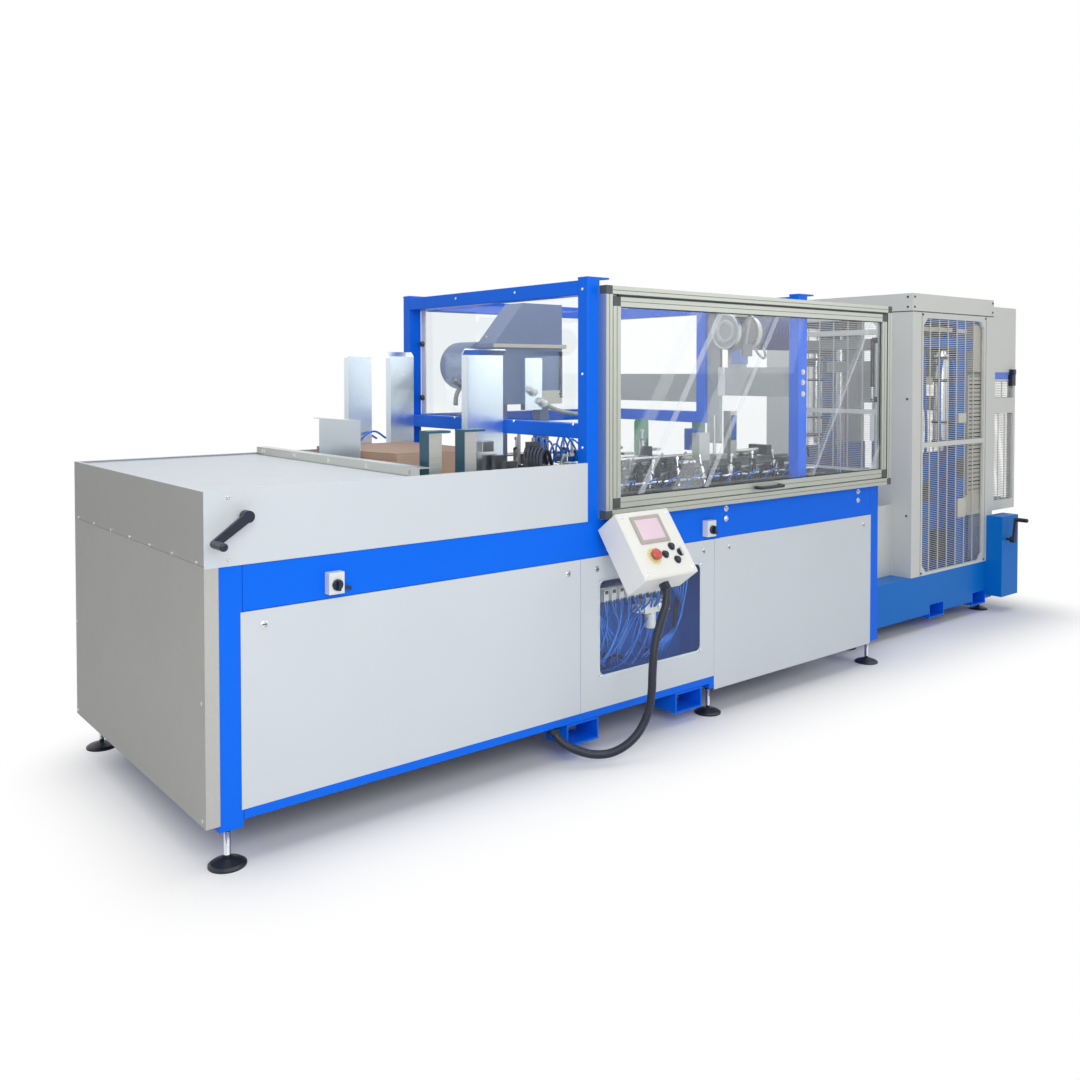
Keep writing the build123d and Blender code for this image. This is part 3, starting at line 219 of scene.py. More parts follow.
# %% [markdown]
# The conduit comes first, because its shape decides what the picture must hold.
# It leaves the console's underside, hangs to the floor and goes up into the base.
# Its line is a smooth spline on the route's own points, and the ribbed skin is a
# ring carried along that line, a little wider and narrower every few millimetres.

# %% Conduit
conduit_radius = 0.017
conduit_route = [
    (1757, -252.09, 693.59), (1745, -271, 655), (1704, -278, 586), (1672, -272, 498), (1672, -260, 388),
    (1690, -240, 285), (1694, -212, 186), (1658, -180, 98), (1580, -144, 48), (1498, -106, 48),
    (1432, -66, 76), (1402, -18, 99), (1398, 18, 127),
]
route_curve = bpy.data.curves.new("conduit_line", "CURVE")
route_curve.dimensions = "3D"
route_spline = route_curve.splines.new("NURBS")
route_spline.points.add(len(conduit_route) - 1)
for spline_point, place in zip(route_spline.points, conduit_route):
    spline_point.co = (*at(*place), 1.0)
route_spline.order_u = 3
route_spline.use_endpoint_u = True
route_spline.resolution_u = 24
route_object = bpy.data.objects.new("conduit_line", route_curve)
bpy.context.scene.collection.objects.link(route_object)
bpy.context.view_layer.update()
line_mesh = bpy.data.meshes.new_from_object(route_object)
line = np.array([v.co[:] for v in line_mesh.vertices])
bpy.data.objects.remove(route_object)
run = np.concatenate([[0], np.cumsum(np.linalg.norm(np.diff(line, axis=0), axis=1))])
rib_pitch = 0.0065
along = np.linspace(0, run[-1], int(run[-1] / rib_pitch) * 6)
ribbed_line = np.stack([np.interp(along, run, line[:, k]) for k in range(3)], -1)
rib_radius = conduit_radius * (0.965 + 0.035 * np.cos(2 * np.pi * along / rib_pitch))
conduit = piece("ribbed_conduit", [carried(ribbed_line, rib_radius, 20)], smooth=True)
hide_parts("conduit")
print("conduit length", round(float(run[-1]), 3))

# %% [markdown]
# A studio sweep: a pale floor that fades to white, one large soft lamp overhead,
# and softer ones from the operator's side, so that the paint shows its own colour.

# %% Floor, sky and lamps
scene = bpy.context.scene
scene.view_settings.view_transform = "Standard"
sky = bpy.data.worlds.new("studio")
scene.world = sky
sky.use_nodes = True
sky_nodes, sky_links = sky.node_tree.nodes, sky.node_tree.links
sky_nodes.clear()
sky_path = sky_nodes.new("ShaderNodeLightPath")
sky_light = sky_nodes.new("ShaderNodeBackground")
sky_light.inputs["Color"].default_value = (0.98, 0.99, 1.0, 1)
sky_light.inputs["Strength"].default_value = 0.40
sky_seen = sky_nodes.new("ShaderNodeBackground")
sky_seen.inputs["Color"].default_value = (1, 1, 1, 1)
sky_seen.inputs["Strength"].default_value = 1.0
either = sky_nodes.new("ShaderNodeMath")
either.operation = "MAXIMUM"
either2 = sky_nodes.new("ShaderNodeMath")
either2.operation = "MAXIMUM"
sky_mix = sky_nodes.new("ShaderNodeMixShader")
sky_out = sky_nodes.new("ShaderNodeOutputWorld")
sky_links.new(sky_path.outputs["Is Camera Ray"], either.inputs[0])
sky_links.new(sky_path.outputs["Is Transmission Ray"], either.inputs[1])
sky_links.new(either.outputs[0], either2.inputs[0])
sky_links.new(sky_path.outputs["Is Glossy Ray"], either2.inputs[1])
sky_links.new(either2.outputs[0], sky_mix.inputs[0])
sky_links.new(sky_light.outputs[0], sky_mix.inputs[1])
sky_links.new(sky_seen.outputs[0], sky_mix.inputs[2])
sky_links.new(sky_mix.outputs[0], sky_out.inputs[0])

floor_mesh = bpy.data.meshes.new("floor")
reach = 30.0
floor_mesh.from_pydata([(-reach, -reach, 0), (reach, -reach, 0), (reach, reach, 0), (-reach, reach, 0)], [], [(0, 1, 2, 3)])
floor = bpy.data.objects.new("floor", floor_mesh)
scene.collection.objects.link(floor)


def lamp(name, place, aim, size, power, colour=(1, 1, 1)):
    """A soft rectangular lamp at a place in metres, turned to face its aim."""
    data = bpy.data.lights.new(name, "AREA")
    data.shape = "RECTANGLE"
    data.size, data.size_y = size
    data.energy = power
    data.color = colour
    obj = bpy.data.objects.new(name, data)
    obj.location = place
    toward = np.array(aim, float) - np.array(place, float)
    yaw = math.atan2(toward[1], toward[0])
    pitch = math.atan2(math.hypot(toward[0], toward[1]), -toward[2])
    obj.rotation_euler = (pitch, 0.0, yaw - math.pi / 2)
    scene.collection.objects.link(obj)
    return obj


lamp("overhead", (0.0, -0.2, 4.6), (0.0, 0.0, 0.0), (8.0, 4.0), 125)
lamp("infeed_key", (-3.3, -4.2, 2.6), (-1.1, 0.0, 0.7), (3.4, 2.4), 105, (1.0, 0.995, 0.985))
lamp("tower_fill", (3.6, -4.6, 2.6), (2.0, 0.0, 1.0), (3.0, 2.2), 26)

# %% [markdown]
# Paint on sheet steel is never quite even. A node group holds the effects that
# several finishes share: slow changes of tone, a fine grain and the small relief
# of the coat. It gives back a colour, a roughness and a height for the bump.

# %% Shared effects
def math_node(tree, operation, a, b=None, clamp=False):
    """One arithmetic node. A number is set on its socket and an output is linked."""
    node = tree.nodes.new("ShaderNodeMath")
    node.operation = operation
    node.use_clamp = clamp
    for socket, value in zip(node.inputs, (a, b)):
        if value is None:
            continue
        if isinstance(value, (int, float)):
            socket.default_value = value
        else:
            tree.links.new(value, socket)
    return node.outputs[0]


def new_group(name, inputs, outputs):
    """An empty shader group with named sockets. Inputs are (name, kind, value)."""
    tree = bpy.data.node_groups.new(name, "ShaderNodeTree")
    for label, kind, value in inputs:
        socket = tree.interface.new_socket(label, in_out="INPUT", socket_type=kind)
        socket.default_value = value
    for label, kind in outputs:
        tree.interface.new_socket(label, in_out="OUTPUT", socket_type=kind)
    return tree, tree.nodes.new("NodeGroupInput"), tree.nodes.new("NodeGroupOutput")


coat_effect, coat_in, coat_out = new_group(
    "coat_variation",
    [("Colour", "NodeSocketColor", (0.5, 0.5, 0.5, 1)), ("Tone", "NodeSocketFloat", 0.06),
     ("Grain size", "NodeSocketFloat", 900.0), ("Grain", "NodeSocketFloat", 0.04),
     ("Roughness", "NodeSocketFloat", 0.4), ("Dust", "NodeSocketFloat", 0.1)],
    [("Colour", "NodeSocketColor"), ("Roughness", "NodeSocketFloat"), ("Height", "NodeSocketFloat")],
)
where = coat_effect.nodes.new("ShaderNodeTexCoord").outputs["Object"]
slow = coat_effect.nodes.new("ShaderNodeTexNoise")
slow.inputs["Scale"].default_value = 2.6
slow.inputs["Detail"].default_value = 3.0
fine = coat_effect.nodes.new("ShaderNodeTexNoise")
fine.inputs["Detail"].default_value = 2.0
smudge = coat_effect.nodes.new("ShaderNodeTexNoise")
smudge.inputs["Scale"].default_value = 14.0
smudge.inputs["Detail"].default_value = 5.0
for texture in (slow, fine, smudge):
    coat_effect.links.new(where, texture.inputs["Vector"])
coat_effect.links.new(coat_in.outputs["Grain size"], fine.inputs["Scale"])
tone = math_node(coat_effect, "MULTIPLY", math_node(coat_effect, "SUBTRACT", slow.outputs["Fac"], 0.5), coat_in.outputs["Tone"])
speck = math_node(coat_effect, "MULTIPLY", math_node(coat_effect, "SUBTRACT", fine.outputs["Fac"], 0.5), coat_in.outputs["Grain"])
lift = math_node(coat_effect, "ADD", math_node(coat_effect, "MULTIPLY", math_node(coat_effect, "ADD", tone, speck), 2.0), 1.0)
shade = coat_effect.nodes.new("ShaderNodeVectorMath")
shade.operation = "SCALE"
coat_effect.links.new(coat_in.outputs["Colour"], shade.inputs[0])
coat_effect.links.new(lift, shade.inputs["Scale"])
facing = coat_effect.nodes.new("ShaderNodeNewGeometry")
apart = coat_effect.nodes.new("ShaderNodeSeparateXYZ")
coat_effect.links.new(facing.outputs["Normal"], apart.inputs[0])
upward = math_node(coat_effect, "MAXIMUM", apart.outputs["Z"], 0.0)
dust_mask = math_node(coat_effect, "MULTIPLY", math_node(coat_effect, "MULTIPLY", upward, smudge.outputs["Fac"]), coat_in.outputs["Dust"], True)
dusty = coat_effect.nodes.new("ShaderNodeMix")
dusty.data_type = "RGBA"
dusty.inputs["B"].default_value = (0.62, 0.60, 0.56, 1)
coat_effect.links.new(dust_mask, dusty.inputs["Factor"])
coat_effect.links.new(shade.outputs[0], dusty.inputs["A"])
coat_effect.links.new(dusty.outputs["Result"], coat_out.inputs["Colour"])
rough = math_node(coat_effect, "MULTIPLY", math_node(coat_effect, "SUBTRACT", smudge.outputs["Fac"], 0.5), 0.14)
rough = math_node(coat_effect, "ADD", math_node(coat_effect, "ADD", rough, coat_in.outputs["Roughness"]), dust_mask, True)
coat_effect.links.new(rough, coat_out.inputs["Roughness"])
coat_effect.links.new(fine.outputs["Fac"], coat_out.inputs["Height"])

brush_effect, brush_in, brush_out = new_group(
    "brushed_grain",
    [("Colour", "NodeSocketColor", (0.6, 0.6, 0.6, 1)), ("Stretch", "NodeSocketVector", (4.0, 300.0, 300.0)),
     ("Strength", "NodeSocketFloat", 0.2), ("Roughness", "NodeSocketFloat", 0.3), ("Bloom", "NodeSocketFloat", 0.1)],
    [("Colour", "NodeSocketColor"), ("Roughness", "NodeSocketFloat"), ("Height", "NodeSocketFloat")],
)
where = brush_effect.nodes.new("ShaderNodeTexCoord").outputs["Object"]
pull_out = brush_effect.nodes.new("ShaderNodeVectorMath")
pull_out.operation = "MULTIPLY"
streak = brush_effect.nodes.new("ShaderNodeTexNoise")
streak.inputs["Scale"].default_value = 1.0
streak.inputs["Detail"].default_value = 4.0
bloom = brush_effect.nodes.new("ShaderNodeTexVoronoi")
bloom.inputs["Scale"].default_value = 38.0
brush_effect.links.new(where, pull_out.inputs[0])
brush_effect.links.new(brush_in.outputs["Stretch"], pull_out.inputs[1])
brush_effect.links.new(pull_out.outputs[0], streak.inputs["Vector"])
brush_effect.links.new(where, bloom.inputs["Vector"])
line_value = math_node(brush_effect, "MULTIPLY", math_node(brush_effect, "SUBTRACT", streak.outputs["Fac"], 0.5), brush_in.outputs["Strength"])
patch = brush_effect.nodes.new("ShaderNodeSeparateColor")
brush_effect.links.new(bloom.outputs["Color"], patch.inputs[0])
patch_value = math_node(brush_effect, "MULTIPLY", math_node(brush_effect, "SUBTRACT", patch.outputs[0], 0.5), brush_in.outputs["Bloom"])
tint = brush_effect.nodes.new("ShaderNodeVectorMath")
tint.operation = "SCALE"
brush_effect.links.new(brush_in.outputs["Colour"], tint.inputs[0])
brush_effect.links.new(math_node(brush_effect, "ADD", math_node(brush_effect, "ADD", line_value, patch_value), 1.0), tint.inputs["Scale"])
brush_effect.links.new(tint.outputs[0], brush_out.inputs["Colour"])
brush_effect.links.new(math_node(brush_effect, "ADD", math_node(brush_effect, "ADD", line_value, patch_value), brush_in.outputs["Roughness"], True), brush_out.inputs["Roughness"])
brush_effect.links.new(streak.outputs["Fac"], brush_out.inputs["Height"])
print("groups", [g.name for g in bpy.data.node_groups])

# %% [markdown]
# Each finish is one material with its own Principled shader. The base frame is
# glossy azure, the panels a light grey coat with a fine relief, the guides bare
# zinc, and the door's bars anodised aluminium.

# %% Finishes
def finish(name, effect, settings, bump=0.0, bump_distance=0.001, **shader):
    """A material: the effect group feeds colour, roughness and bump of one shader."""
    material = bpy.data.materials.new(name)
    material.use_nodes = True
    tree = material.node_tree
    surface = tree.nodes["Principled BSDF"]
    group = tree.nodes.new("ShaderNodeGroup")
    group.node_tree = effect
    for label, value in settings.items():
        group.inputs[label].default_value = value
    tree.links.new(group.outputs["Colour"], surface.inputs["Base Color"])
    tree.links.new(group.outputs["Roughness"], surface.inputs["Roughness"])
    if bump:
        relief = tree.nodes.new("ShaderNodeBump")
        relief.inputs["Strength"].default_value = bump
        relief.inputs["Distance"].default_value = bump_distance
        tree.links.new(group.outputs["Height"], relief.inputs["Height"])
        tree.links.new(relief.outputs["Normal"], surface.inputs["Normal"])
    for label, value in shader.items():
        surface.inputs[label.replace("_", " ").title().replace("Ior", "IOR")].default_value = value
    return material


def paint(name, colour, roughness=0.35, tone=0.05, grain=0.03, size=900.0, dust=0.06, bump=0.12, **shader):
    """A painted coat with its own colour, gloss and relief."""
    settings = {"Colour": (*colour, 1), "Tone": tone, "Grain size": size, "Grain": grain, "Roughness": roughness, "Dust": dust}
    return finish(name, coat_effect, settings, bump, 0.0006, **shader)


def metal(name, colour, roughness=0.25, strength=0.15, bloom=0.0, stretch=(3.0, 260.0, 260.0), **shader):
    """A bare metal with a grain pulled out along one direction."""
    settings = {"Colour": (*colour, 1), "Stretch": stretch, "Strength": strength, "Roughness": roughness, "Bloom": bloom}
    return finish(name, brush_effect, settings, 0.04, 0.0003, metallic=1.0, **shader)


azure = paint("azure_gloss", (0.0, 0.140, 0.83), 0.34, tone=0.04, grain=0.02, size=500, dust=0.02,
              specular_ior_level=0.16)
tower_azure = paint("tower_azure_gloss", (0.0, 0.165, 0.60), 0.36, tone=0.05, grain=0.02, size=500, dust=0.03,
                    specular_ior_level=0.2)
# A darker copy of the frame's azure for the parts inside the guards: the darkening is painted shade.
shaded_azure = paint("azure_painted_shade", (0.0, 0.11, 0.50), 0.4, tone=0.1, dust=0.03, specular_ior_level=0.3)
lane_grey = paint("lane_coat", (0.13, 0.15, 0.155), 0.36, tone=0.25, grain=0.1, size=200, dust=0.12)
panel_grey = paint("light_grey_coat", (0.60, 0.645, 0.69), 0.42, tone=0.03, grain=0.05, size=1400, dust=0.02,
                   specular_ior_level=0.3)
end_grey = paint("warm_grey_coat", (0.46, 0.46, 0.44), 0.5, tone=0.05, grain=0.30, size=700, dust=0.02, bump=0.35)
tower_white = paint("tower_white_coat", (0.64, 0.655, 0.63), 0.45, tone=0.03, grain=0.03, dust=0.02)
machine_grey = paint("machine_grey_coat", (0.40, 0.43, 0.43), 0.42, tone=0.08, grain=0.05, dust=0.08)
slate_blue = paint("slate_blue_coat", (0.17, 0.23, 0.40), 0.38, tone=0.08, grain=0.03, dust=0.08)
guide_green = paint("green_plastic", (0.02, 0.30, 0.14), 0.35, grain=0.02, dust=0.02)
console_cream = paint("cream_coat", (0.80, 0.80, 0.76), 0.38, tone=0.02, grain=0.03, dust=0.02)
cover_cream = paint("press_cream_coat", (0.62, 0.60, 0.52), 0.42, tone=0.05, grain=0.03, dust=0.05)
black_coat = paint("black_coat", (0.012, 0.014, 0.022), 0.36, grain=0.2, size=1500, dust=0.03)
black_plastic = paint("black_plastic", (0.008, 0.013, 0.030), 0.34, grain=0.3, size=1800, dust=0.03, bump=0.2)
dark_steel = paint("dark_steel", (0.055, 0.06, 0.07), 0.32, tone=0.2, grain=0.15, size=300, dust=0.12)
# A dark teal used only for the painted shade on the clamp stands.
clamp_shade_teal = paint("clamp_shade_teal", (0.015, 0.09, 0.15), 0.3, tone=0.2, dust=0.05)
seam_shade = paint("seam_shade", (0.06, 0.065, 0.065), 0.6, dust=0.1)
slot_shade = paint("slot_shade", (0.20, 0.215, 0.20), 0.5, dust=0.1)
profile_dark = paint("profile_cap", (0.07, 0.08, 0.08), 0.45, dust=0.06)
red_plastic = paint("red_plastic", (0.52, 0.085, 0.06), 0.3, dust=0.02)
yellow_plastic = paint("yellow_plastic", (0.80, 0.68, 0.38), 0.35, dust=0.02)
white_plastic = paint("white_plastic", (0.74, 0.76, 0.77), 0.38, tone=0.05, dust=0.03)
screen_glass = paint("screen_glass", (0.80, 0.62, 0.72), 0.12, tone=0.12, grain=0.0, dust=0.0, bump=0.0)
bezel_grey = paint("bezel_grey", (0.42, 0.40, 0.36), 0.4, dust=0.02)
blue_tube = paint("blue_tube", (0.01, 0.17, 0.70), 0.26, dust=0.02)
grey_tube = paint("grey_tube", (0.36, 0.38, 0.37), 0.3, dust=0.04)
board_brown = finish(
    "board", brush_effect,
    {"Colour": (0.44, 0.31, 0.245, 1), "Stretch": (2.0, 2.0, 420.0), "Strength": 0.55, "Roughness": 0.8,
     "Bloom": 0.0},
    0.2, 0.0006, specular_ior_level=0.2,
)
zinc = metal("zinc_sheet", (0.78, 0.86, 0.93), 0.26, 0.03, 0.012, stretch=(60.0, 60.0, 2.0))
stainless = metal("stainless_sheet", (0.62, 0.63, 0.60), 0.32, 0.2)
bright_steel = metal("bright_steel", (0.76, 0.78, 0.80), 0.18, 0.06)
profile_metal = metal("anodised_profile", (0.54, 0.565, 0.51), 0.46, 0.10, stretch=(2.0, 500.0, 500.0))
wire_metal = metal("wire_zinc", (0.70, 0.70, 0.66), 0.4, 0.1)

clear_sheet = bpy.data.materials.new("clear_sheet")
clear_sheet.use_nodes = True
clear_tree = clear_sheet.node_tree
clear_shader = clear_tree.nodes["Principled BSDF"]
clear_shader.inputs["Base Color"].default_value = (0.93, 0.955, 0.96, 1)
clear_shader.inputs["Transmission Weight"].default_value = 1.0
clear_shader.inputs["IOR"].default_value = 1.03
clear_shader.inputs["Coat Weight"].default_value = 0.55
clear_shader.inputs["Coat Roughness"].default_value = 0.02
haze = clear_tree.nodes.new("ShaderNodeTexNoise")
haze.inputs["Scale"].default_value = 3.0
haze.inputs["Detail"].default_value = 4.0
haze_place = clear_tree.nodes.new("ShaderNodeTexCoord")
clear_tree.links.new(haze_place.outputs["Object"], haze.inputs["Vector"])
haze_range = clear_tree.nodes.new("ShaderNodeMapRange")
haze_range.inputs["To Min"].default_value = 0.0
haze_range.inputs["To Max"].default_value = 0.05
clear_tree.links.new(haze.outputs["Fac"], haze_range.inputs["Value"])
clear_tree.links.new(haze_range.outputs["Result"], clear_shader.inputs["Roughness"])

floor_paint = bpy.data.materials.new("studio_floor")
floor_paint.use_nodes = True
floor_tree = floor_paint.node_tree
floor_shader = floor_tree.nodes["Principled BSDF"]
floor_shader.inputs["Base Color"].default_value = (0.93, 0.93, 0.93, 1)
floor_shader.inputs["Roughness"].default_value = 0.9
floor_shader.inputs["Specular IOR Level"].default_value = 0.1
floor_place = floor_tree.nodes.new("ShaderNodeTexCoord")
floor_fold = floor_tree.nodes.new("ShaderNodeVectorMath")
floor_fold.operation = "ABSOLUTE"
floor_beyond = floor_tree.nodes.new("ShaderNodeVectorMath")
floor_beyond.operation = "SUBTRACT"
floor_beyond.inputs[1].default_value = (2.55, 0.50, 0.0)
floor_outside = floor_tree.nodes.new("ShaderNodeVectorMath")
floor_outside.operation = "MAXIMUM"
floor_reach = floor_tree.nodes.new("ShaderNodeVectorMath")
floor_reach.operation = "LENGTH"
floor_fade = floor_tree.nodes.new("ShaderNodeMapRange")
floor_fade.interpolation_type = "SMOOTHSTEP"
floor_fade.inputs["From Min"].default_value = 0.0
floor_fade.inputs["From Max"].default_value = 0.62
floor_white = floor_tree.nodes.new("ShaderNodeEmission")
floor_seen = floor_tree.nodes.new("ShaderNodeLightPath")
floor_ray = floor_tree.nodes.new("ShaderNodeMath")
floor_ray.operation = "MAXIMUM"
floor_part = floor_tree.nodes.new("ShaderNodeMath")
floor_part.operation = "MULTIPLY"
floor_mix = floor_tree.nodes.new("ShaderNodeMixShader")
floor_tree.links.new(floor_place.outputs["Object"], floor_fold.inputs[0])
floor_tree.links.new(floor_fold.outputs[0], floor_beyond.inputs[0])
floor_tree.links.new(floor_beyond.outputs[0], floor_outside.inputs[0])
floor_tree.links.new(floor_outside.outputs[0], floor_reach.inputs[0])
floor_tree.links.new(floor_reach.outputs["Value"], floor_fade.inputs["Value"])
floor_tree.links.new(floor_seen.outputs["Is Camera Ray"], floor_ray.inputs[0])
floor_tree.links.new(floor_seen.outputs["Is Transmission Ray"], floor_ray.inputs[1])
floor_tree.links.new(floor_ray.outputs[0], floor_part.inputs[0])
floor_tree.links.new(floor_fade.outputs["Result"], floor_part.inputs[1])
floor_tree.links.new(floor_part.outputs[0], floor_mix.inputs[0])
floor_tree.links.new(floor_shader.outputs[0], floor_mix.inputs[1])
floor_tree.links.new(floor_white.outputs[0], floor_mix.inputs[2])
floor_tree.links.new(floor_mix.outputs[0], floor_tree.nodes["Material Output"].inputs[0])
floor.data.materials.append(floor_paint)
print("finishes", len(bpy.data.materials))

# %% [markdown]
# Faces of the housing that look toward the infeed end are painted in the end panel's darker warm grey, as painted shade
# on that side, and the others keep the lighter coat. One material mixes the two by the way the sheet faces.

# %% Painted shade on the housing's end-facing sheets
housing_coat = panel_grey.copy()
housing_coat.name = "housing_painted_end_shade"
housing_tree = housing_coat.node_tree
housing_group = next(node for node in housing_tree.nodes if node.type == "GROUP")
housing_facing = housing_tree.nodes.new("ShaderNodeNewGeometry")
housing_apart = housing_tree.nodes.new("ShaderNodeSeparateXYZ")
housing_mix = housing_tree.nodes.new("ShaderNodeMix")
housing_mix.data_type = "RGBA"
# Colour B, on faces toward the infeed end, is painted shade.
housing_mix.inputs["A"].default_value = (0.60, 0.645, 0.69, 1)
housing_mix.inputs["B"].default_value = (0.43, 0.435, 0.42, 1)
housing_tree.links.new(housing_facing.outputs["Normal"], housing_apart.inputs[0])
end_facing = math_node(housing_tree, "LESS_THAN", housing_apart.outputs["X"], -0.7)
housing_tree.links.new(end_facing, housing_mix.inputs["Factor"])
housing_tree.links.new(housing_mix.outputs["Result"], housing_group.inputs["Colour"])
print("housing coat with painted end shade", housing_coat.name)

# %% [markdown]
# Every solid of the model gets its finish here, by the slot that its record names
# or by its own name where the photograph shows something else.

# %% Dress the solids
slot_finish = {
    "frame_blue": azure, "panel_grey": panel_grey, "tower_white": tower_white, "machine_grey": machine_grey,
    "slate_blue": slate_blue, "guide_green": guide_green, "zinc": zinc, "stainless": stainless,
    "alu_profile": profile_metal, "chrome": bright_steel, "black_plastic": black_plastic, "black_steel": black_coat,
    "console_cream": console_cream, "clear_sheet": clear_sheet, "board": board_brown, "valve_grey": white_plastic,
}
node_finish = {
    "end_panel": end_grey, "housing_sheets": housing_coat, "bay_front": panel_grey, "levelling_feet": black_coat, "bay_box": shaded_azure,
    "press_covers": cover_cream, "press_cylinders": bright_steel,
    "tower_base": tower_azure, "drive_box": tower_azure, "press_frame": tower_azure,
    "transport_lanes": lane_grey, "forming_deck": lane_grey,
}
node_slot = {entry["node"]: entry["material_slot"] for entry in frame["record"]["subparts"]}
for name, obj in nodes.items():
    obj.data.materials.clear()
    obj.data.materials.append(node_finish.get(name, slot_finish[node_slot[name]]))
print("dressed", len(nodes))


def wear(obj, material):
    """Gives a new piece its finish."""
    obj.data.materials.append(material)
    return obj


wear(conduit, black_plastic)

# %% [markdown]
# The tower's guards are welded wire: horizontal wires about 11 mm apart, laid
# behind flat upright bars. One wire is a thin four-sided bar, and all the wires
# of a window are one computed stack of copies.

# %% Mesh wires
wire_pitch = 11.5
wire_half = 1.4


def wires(low, high, z0, z1):
    """One wire as a box along its span, then a copy of it at every height from z0 to z1."""
    (x0, y0), (x1, y1) = low, high
    heights = np.arange(z0 + wire_pitch / 2, z1, wire_pitch)
    base, quads = slab((x0, y0, -wire_half), (x1, y1, wire_half))
    return placed((base, quads), np.c_[np.zeros((len(heights), 2)), heights])


tower_y = (216.0, 1300.0)
wire_y = [y + side * 14 for y, side in zip(tower_y, (1, -1))]
side_wire_x = 4326 + 13
guard_wire_y = [wire_y[0], 1060 - 14]
wire_shapes = [wires((4440, y - wire_half), (5184, y + wire_half), 342, 1888) for y in wire_y]
wire_shapes.append(wires((side_wire_x - wire_half, 458), (side_wire_x + wire_half, 1106), 955, 1888))
for z0, z1 in ((708, 1293), (1387, 1503)):
    wire_shapes += [wires((5316, y - wire_half), (5580, y + wire_half), z0, z1) for y in guard_wire_y]
    wire_shapes.append(wires((5585 - wire_half, 256), (5585 + wire_half, 1022), z0, z1))
wear(piece("mesh_wires", drawn(wire_shapes)), wire_metal)

# %% [markdown]
# From here on each piece is a list of shapes in drawing millimetres. One helper
# draws them, gives them their finish and, where the real part has one, a soft edge.

# %% Fit a piece from its shapes
def fitted(name, shapes, material, body="machine", smooth=False, edge=0.0):
    """A piece from shapes in millimetres, with its material and its body."""
    return wear(piece(name, drawn(shapes), body, smooth, edge), material)


def tubes(paths, radius, sides=8, count=8):
    """A round tube along a smooth line through each list of points."""
    return [carried(smooth_path(points, count), radius, sides) for points in paths]


to_front, to_rear, to_infeed, to_roof = (0, -1, 0), (0, 1, 0), (-1, 0, 0), (0, 0, 1)
print("helpers ready")

# %% [markdown]
# The lift-off panels are held by quarter-turn locks, the sheets by small socket
# screws, and the bands by hexagon bolts. Each is a profile turned about its axis,
# so one shape serves every place, and the hexagon is the same turn with six sides.

# %% Locks, screws and bolts
def screw(radius, height, sides=12):
    """A head turned from its profile: a chamfered edge and a sunk socket in the middle."""
    return turned(
        [(0, -0.5), (radius, -0.5), (radius, 0.6 * height), (0.8 * radius, height), (0.45 * radius, height),
         (0.4 * radius, 0.35 * height), (0, 0.35 * height)], sides)


lock_x = (192, 1460, 1613, 2254, 2427, 3500)
lock_z = 754
rear_lock_x = (192, 1460, 2427, 3500)
front_face, rear_face = 1, 1416
front_locks = [(x, front_face, lock_z) for x in lock_x]
rear_locks = [(x, rear_face, lock_z) for x in rear_lock_x]
lock = turned([(0, -0.5), (13, -0.5), (13, 2.5), (10, 4), (8, 4), (7, 1.5), (0, 1.5)], 20)
lock_slot = slab((-6, -1.5, 1.4), (6, 1.5, 3.6))
fitted("panel_locks", [placed(lock, front_locks, to_front), placed(lock, rear_locks, to_rear)],
       bright_steel)
fitted("lock_slots", [placed(lock_slot, front_locks, to_front), placed(lock_slot, rear_locks, to_rear)],
       seam_shade)

cover_corners = [(x, -2, z) for x in (1631, 2235) for z in (314, 702)]
end_screws = [(0, y, z) for y in (24, 1393) for z in (168, 535)]
seam_screws = [(0, y, 966) for y in np.linspace(60, 1357, 7)]
rail_screws = [(1563, y, 1905) for y in (481, 939)] + [(1563, y, 1343) for y in (91, 489, 950)]
post_screws = [(1563, 32, z) for z in (1892, 1549, 1250, 1080)]
small_screw = screw(6, 3.5)
fitted(
    "sheet_screws",
    [placed(small_screw, cover_corners + [(77, 0, 1166), (77, 0, 975)], to_front),
     placed(small_screw, end_screws + seam_screws + rail_screws + post_screws, to_infeed)],
    bright_steel,
)
band_bolts = [(x, 3, z) for x in (2411, 3455) for z in (888, 934)]
post_bolts = [(2978, 3, z) for z in (1451, 1508, 1559)]
bracket_bolts = [(x, -6, z) for x in (1640, 1652) for z in (884, 838)]
rear_bolts = [(x, 1414, z) for x in (150, 1240, 2411, 3455) for z in (888, 934)]
hexagon = turned([(0, -0.5), (12, -0.5), (12, 1.6), (9.5, 1.6), (9.5, 7), (8.2, 8.2), (0, 8.2)], 6)
washer = turned([(0, -0.5), (14, -0.5), (14, 1.4), (13, 2), (0, 2)], 20)
fitted("band_bolts",
       [placed(part, band_bolts + post_bolts, to_front) for part in (hexagon, washer)]
       + [placed(part, rear_bolts, to_rear) for part in (hexagon, washer)], bright_steel)

# %% [markdown]
# Two small switch boxes sit on the front band, each a moulded grey body with a
# black turning knob. The body is a box with a soft edge, the knob a turned disc
# with a finger bar across it.

# %% Switch boxes on the band
switch_x = (404, 2252)
switch_low, switch_high, switch_depth = 822, 894, 32
boxes, knobs = [], []
for x in switch_x:
    boxes.append(slab((x, 3 - switch_depth, switch_low), (x + 56, 3, switch_high)))
    boxes.append(slab((x + 4, 1 - switch_depth, switch_low + 4), (x + 52, 3 - switch_depth, switch_high - 4)))
    knob = turned([(0, 0), (19, 0), (19, 7), (16, 10), (0, 10)], 24)
    knobs.append(placed(knob, [(x + 28, 1 - switch_depth, 854)], to_front))
    knobs.append(slab((x + 23, -19 - switch_depth, 836), (x + 33, -8 - switch_depth, 872)))
    knobs.append(carried([(x + 56, -12, 838), (x + 72, -12, 838), (x + 84, -10, 834), (x + 92, 0, 830)], 6, 10))
fitted("switch_boxes", boxes, white_plastic, edge=0.002)
fitted("switch_knobs", knobs, black_plastic, edge=0.001)

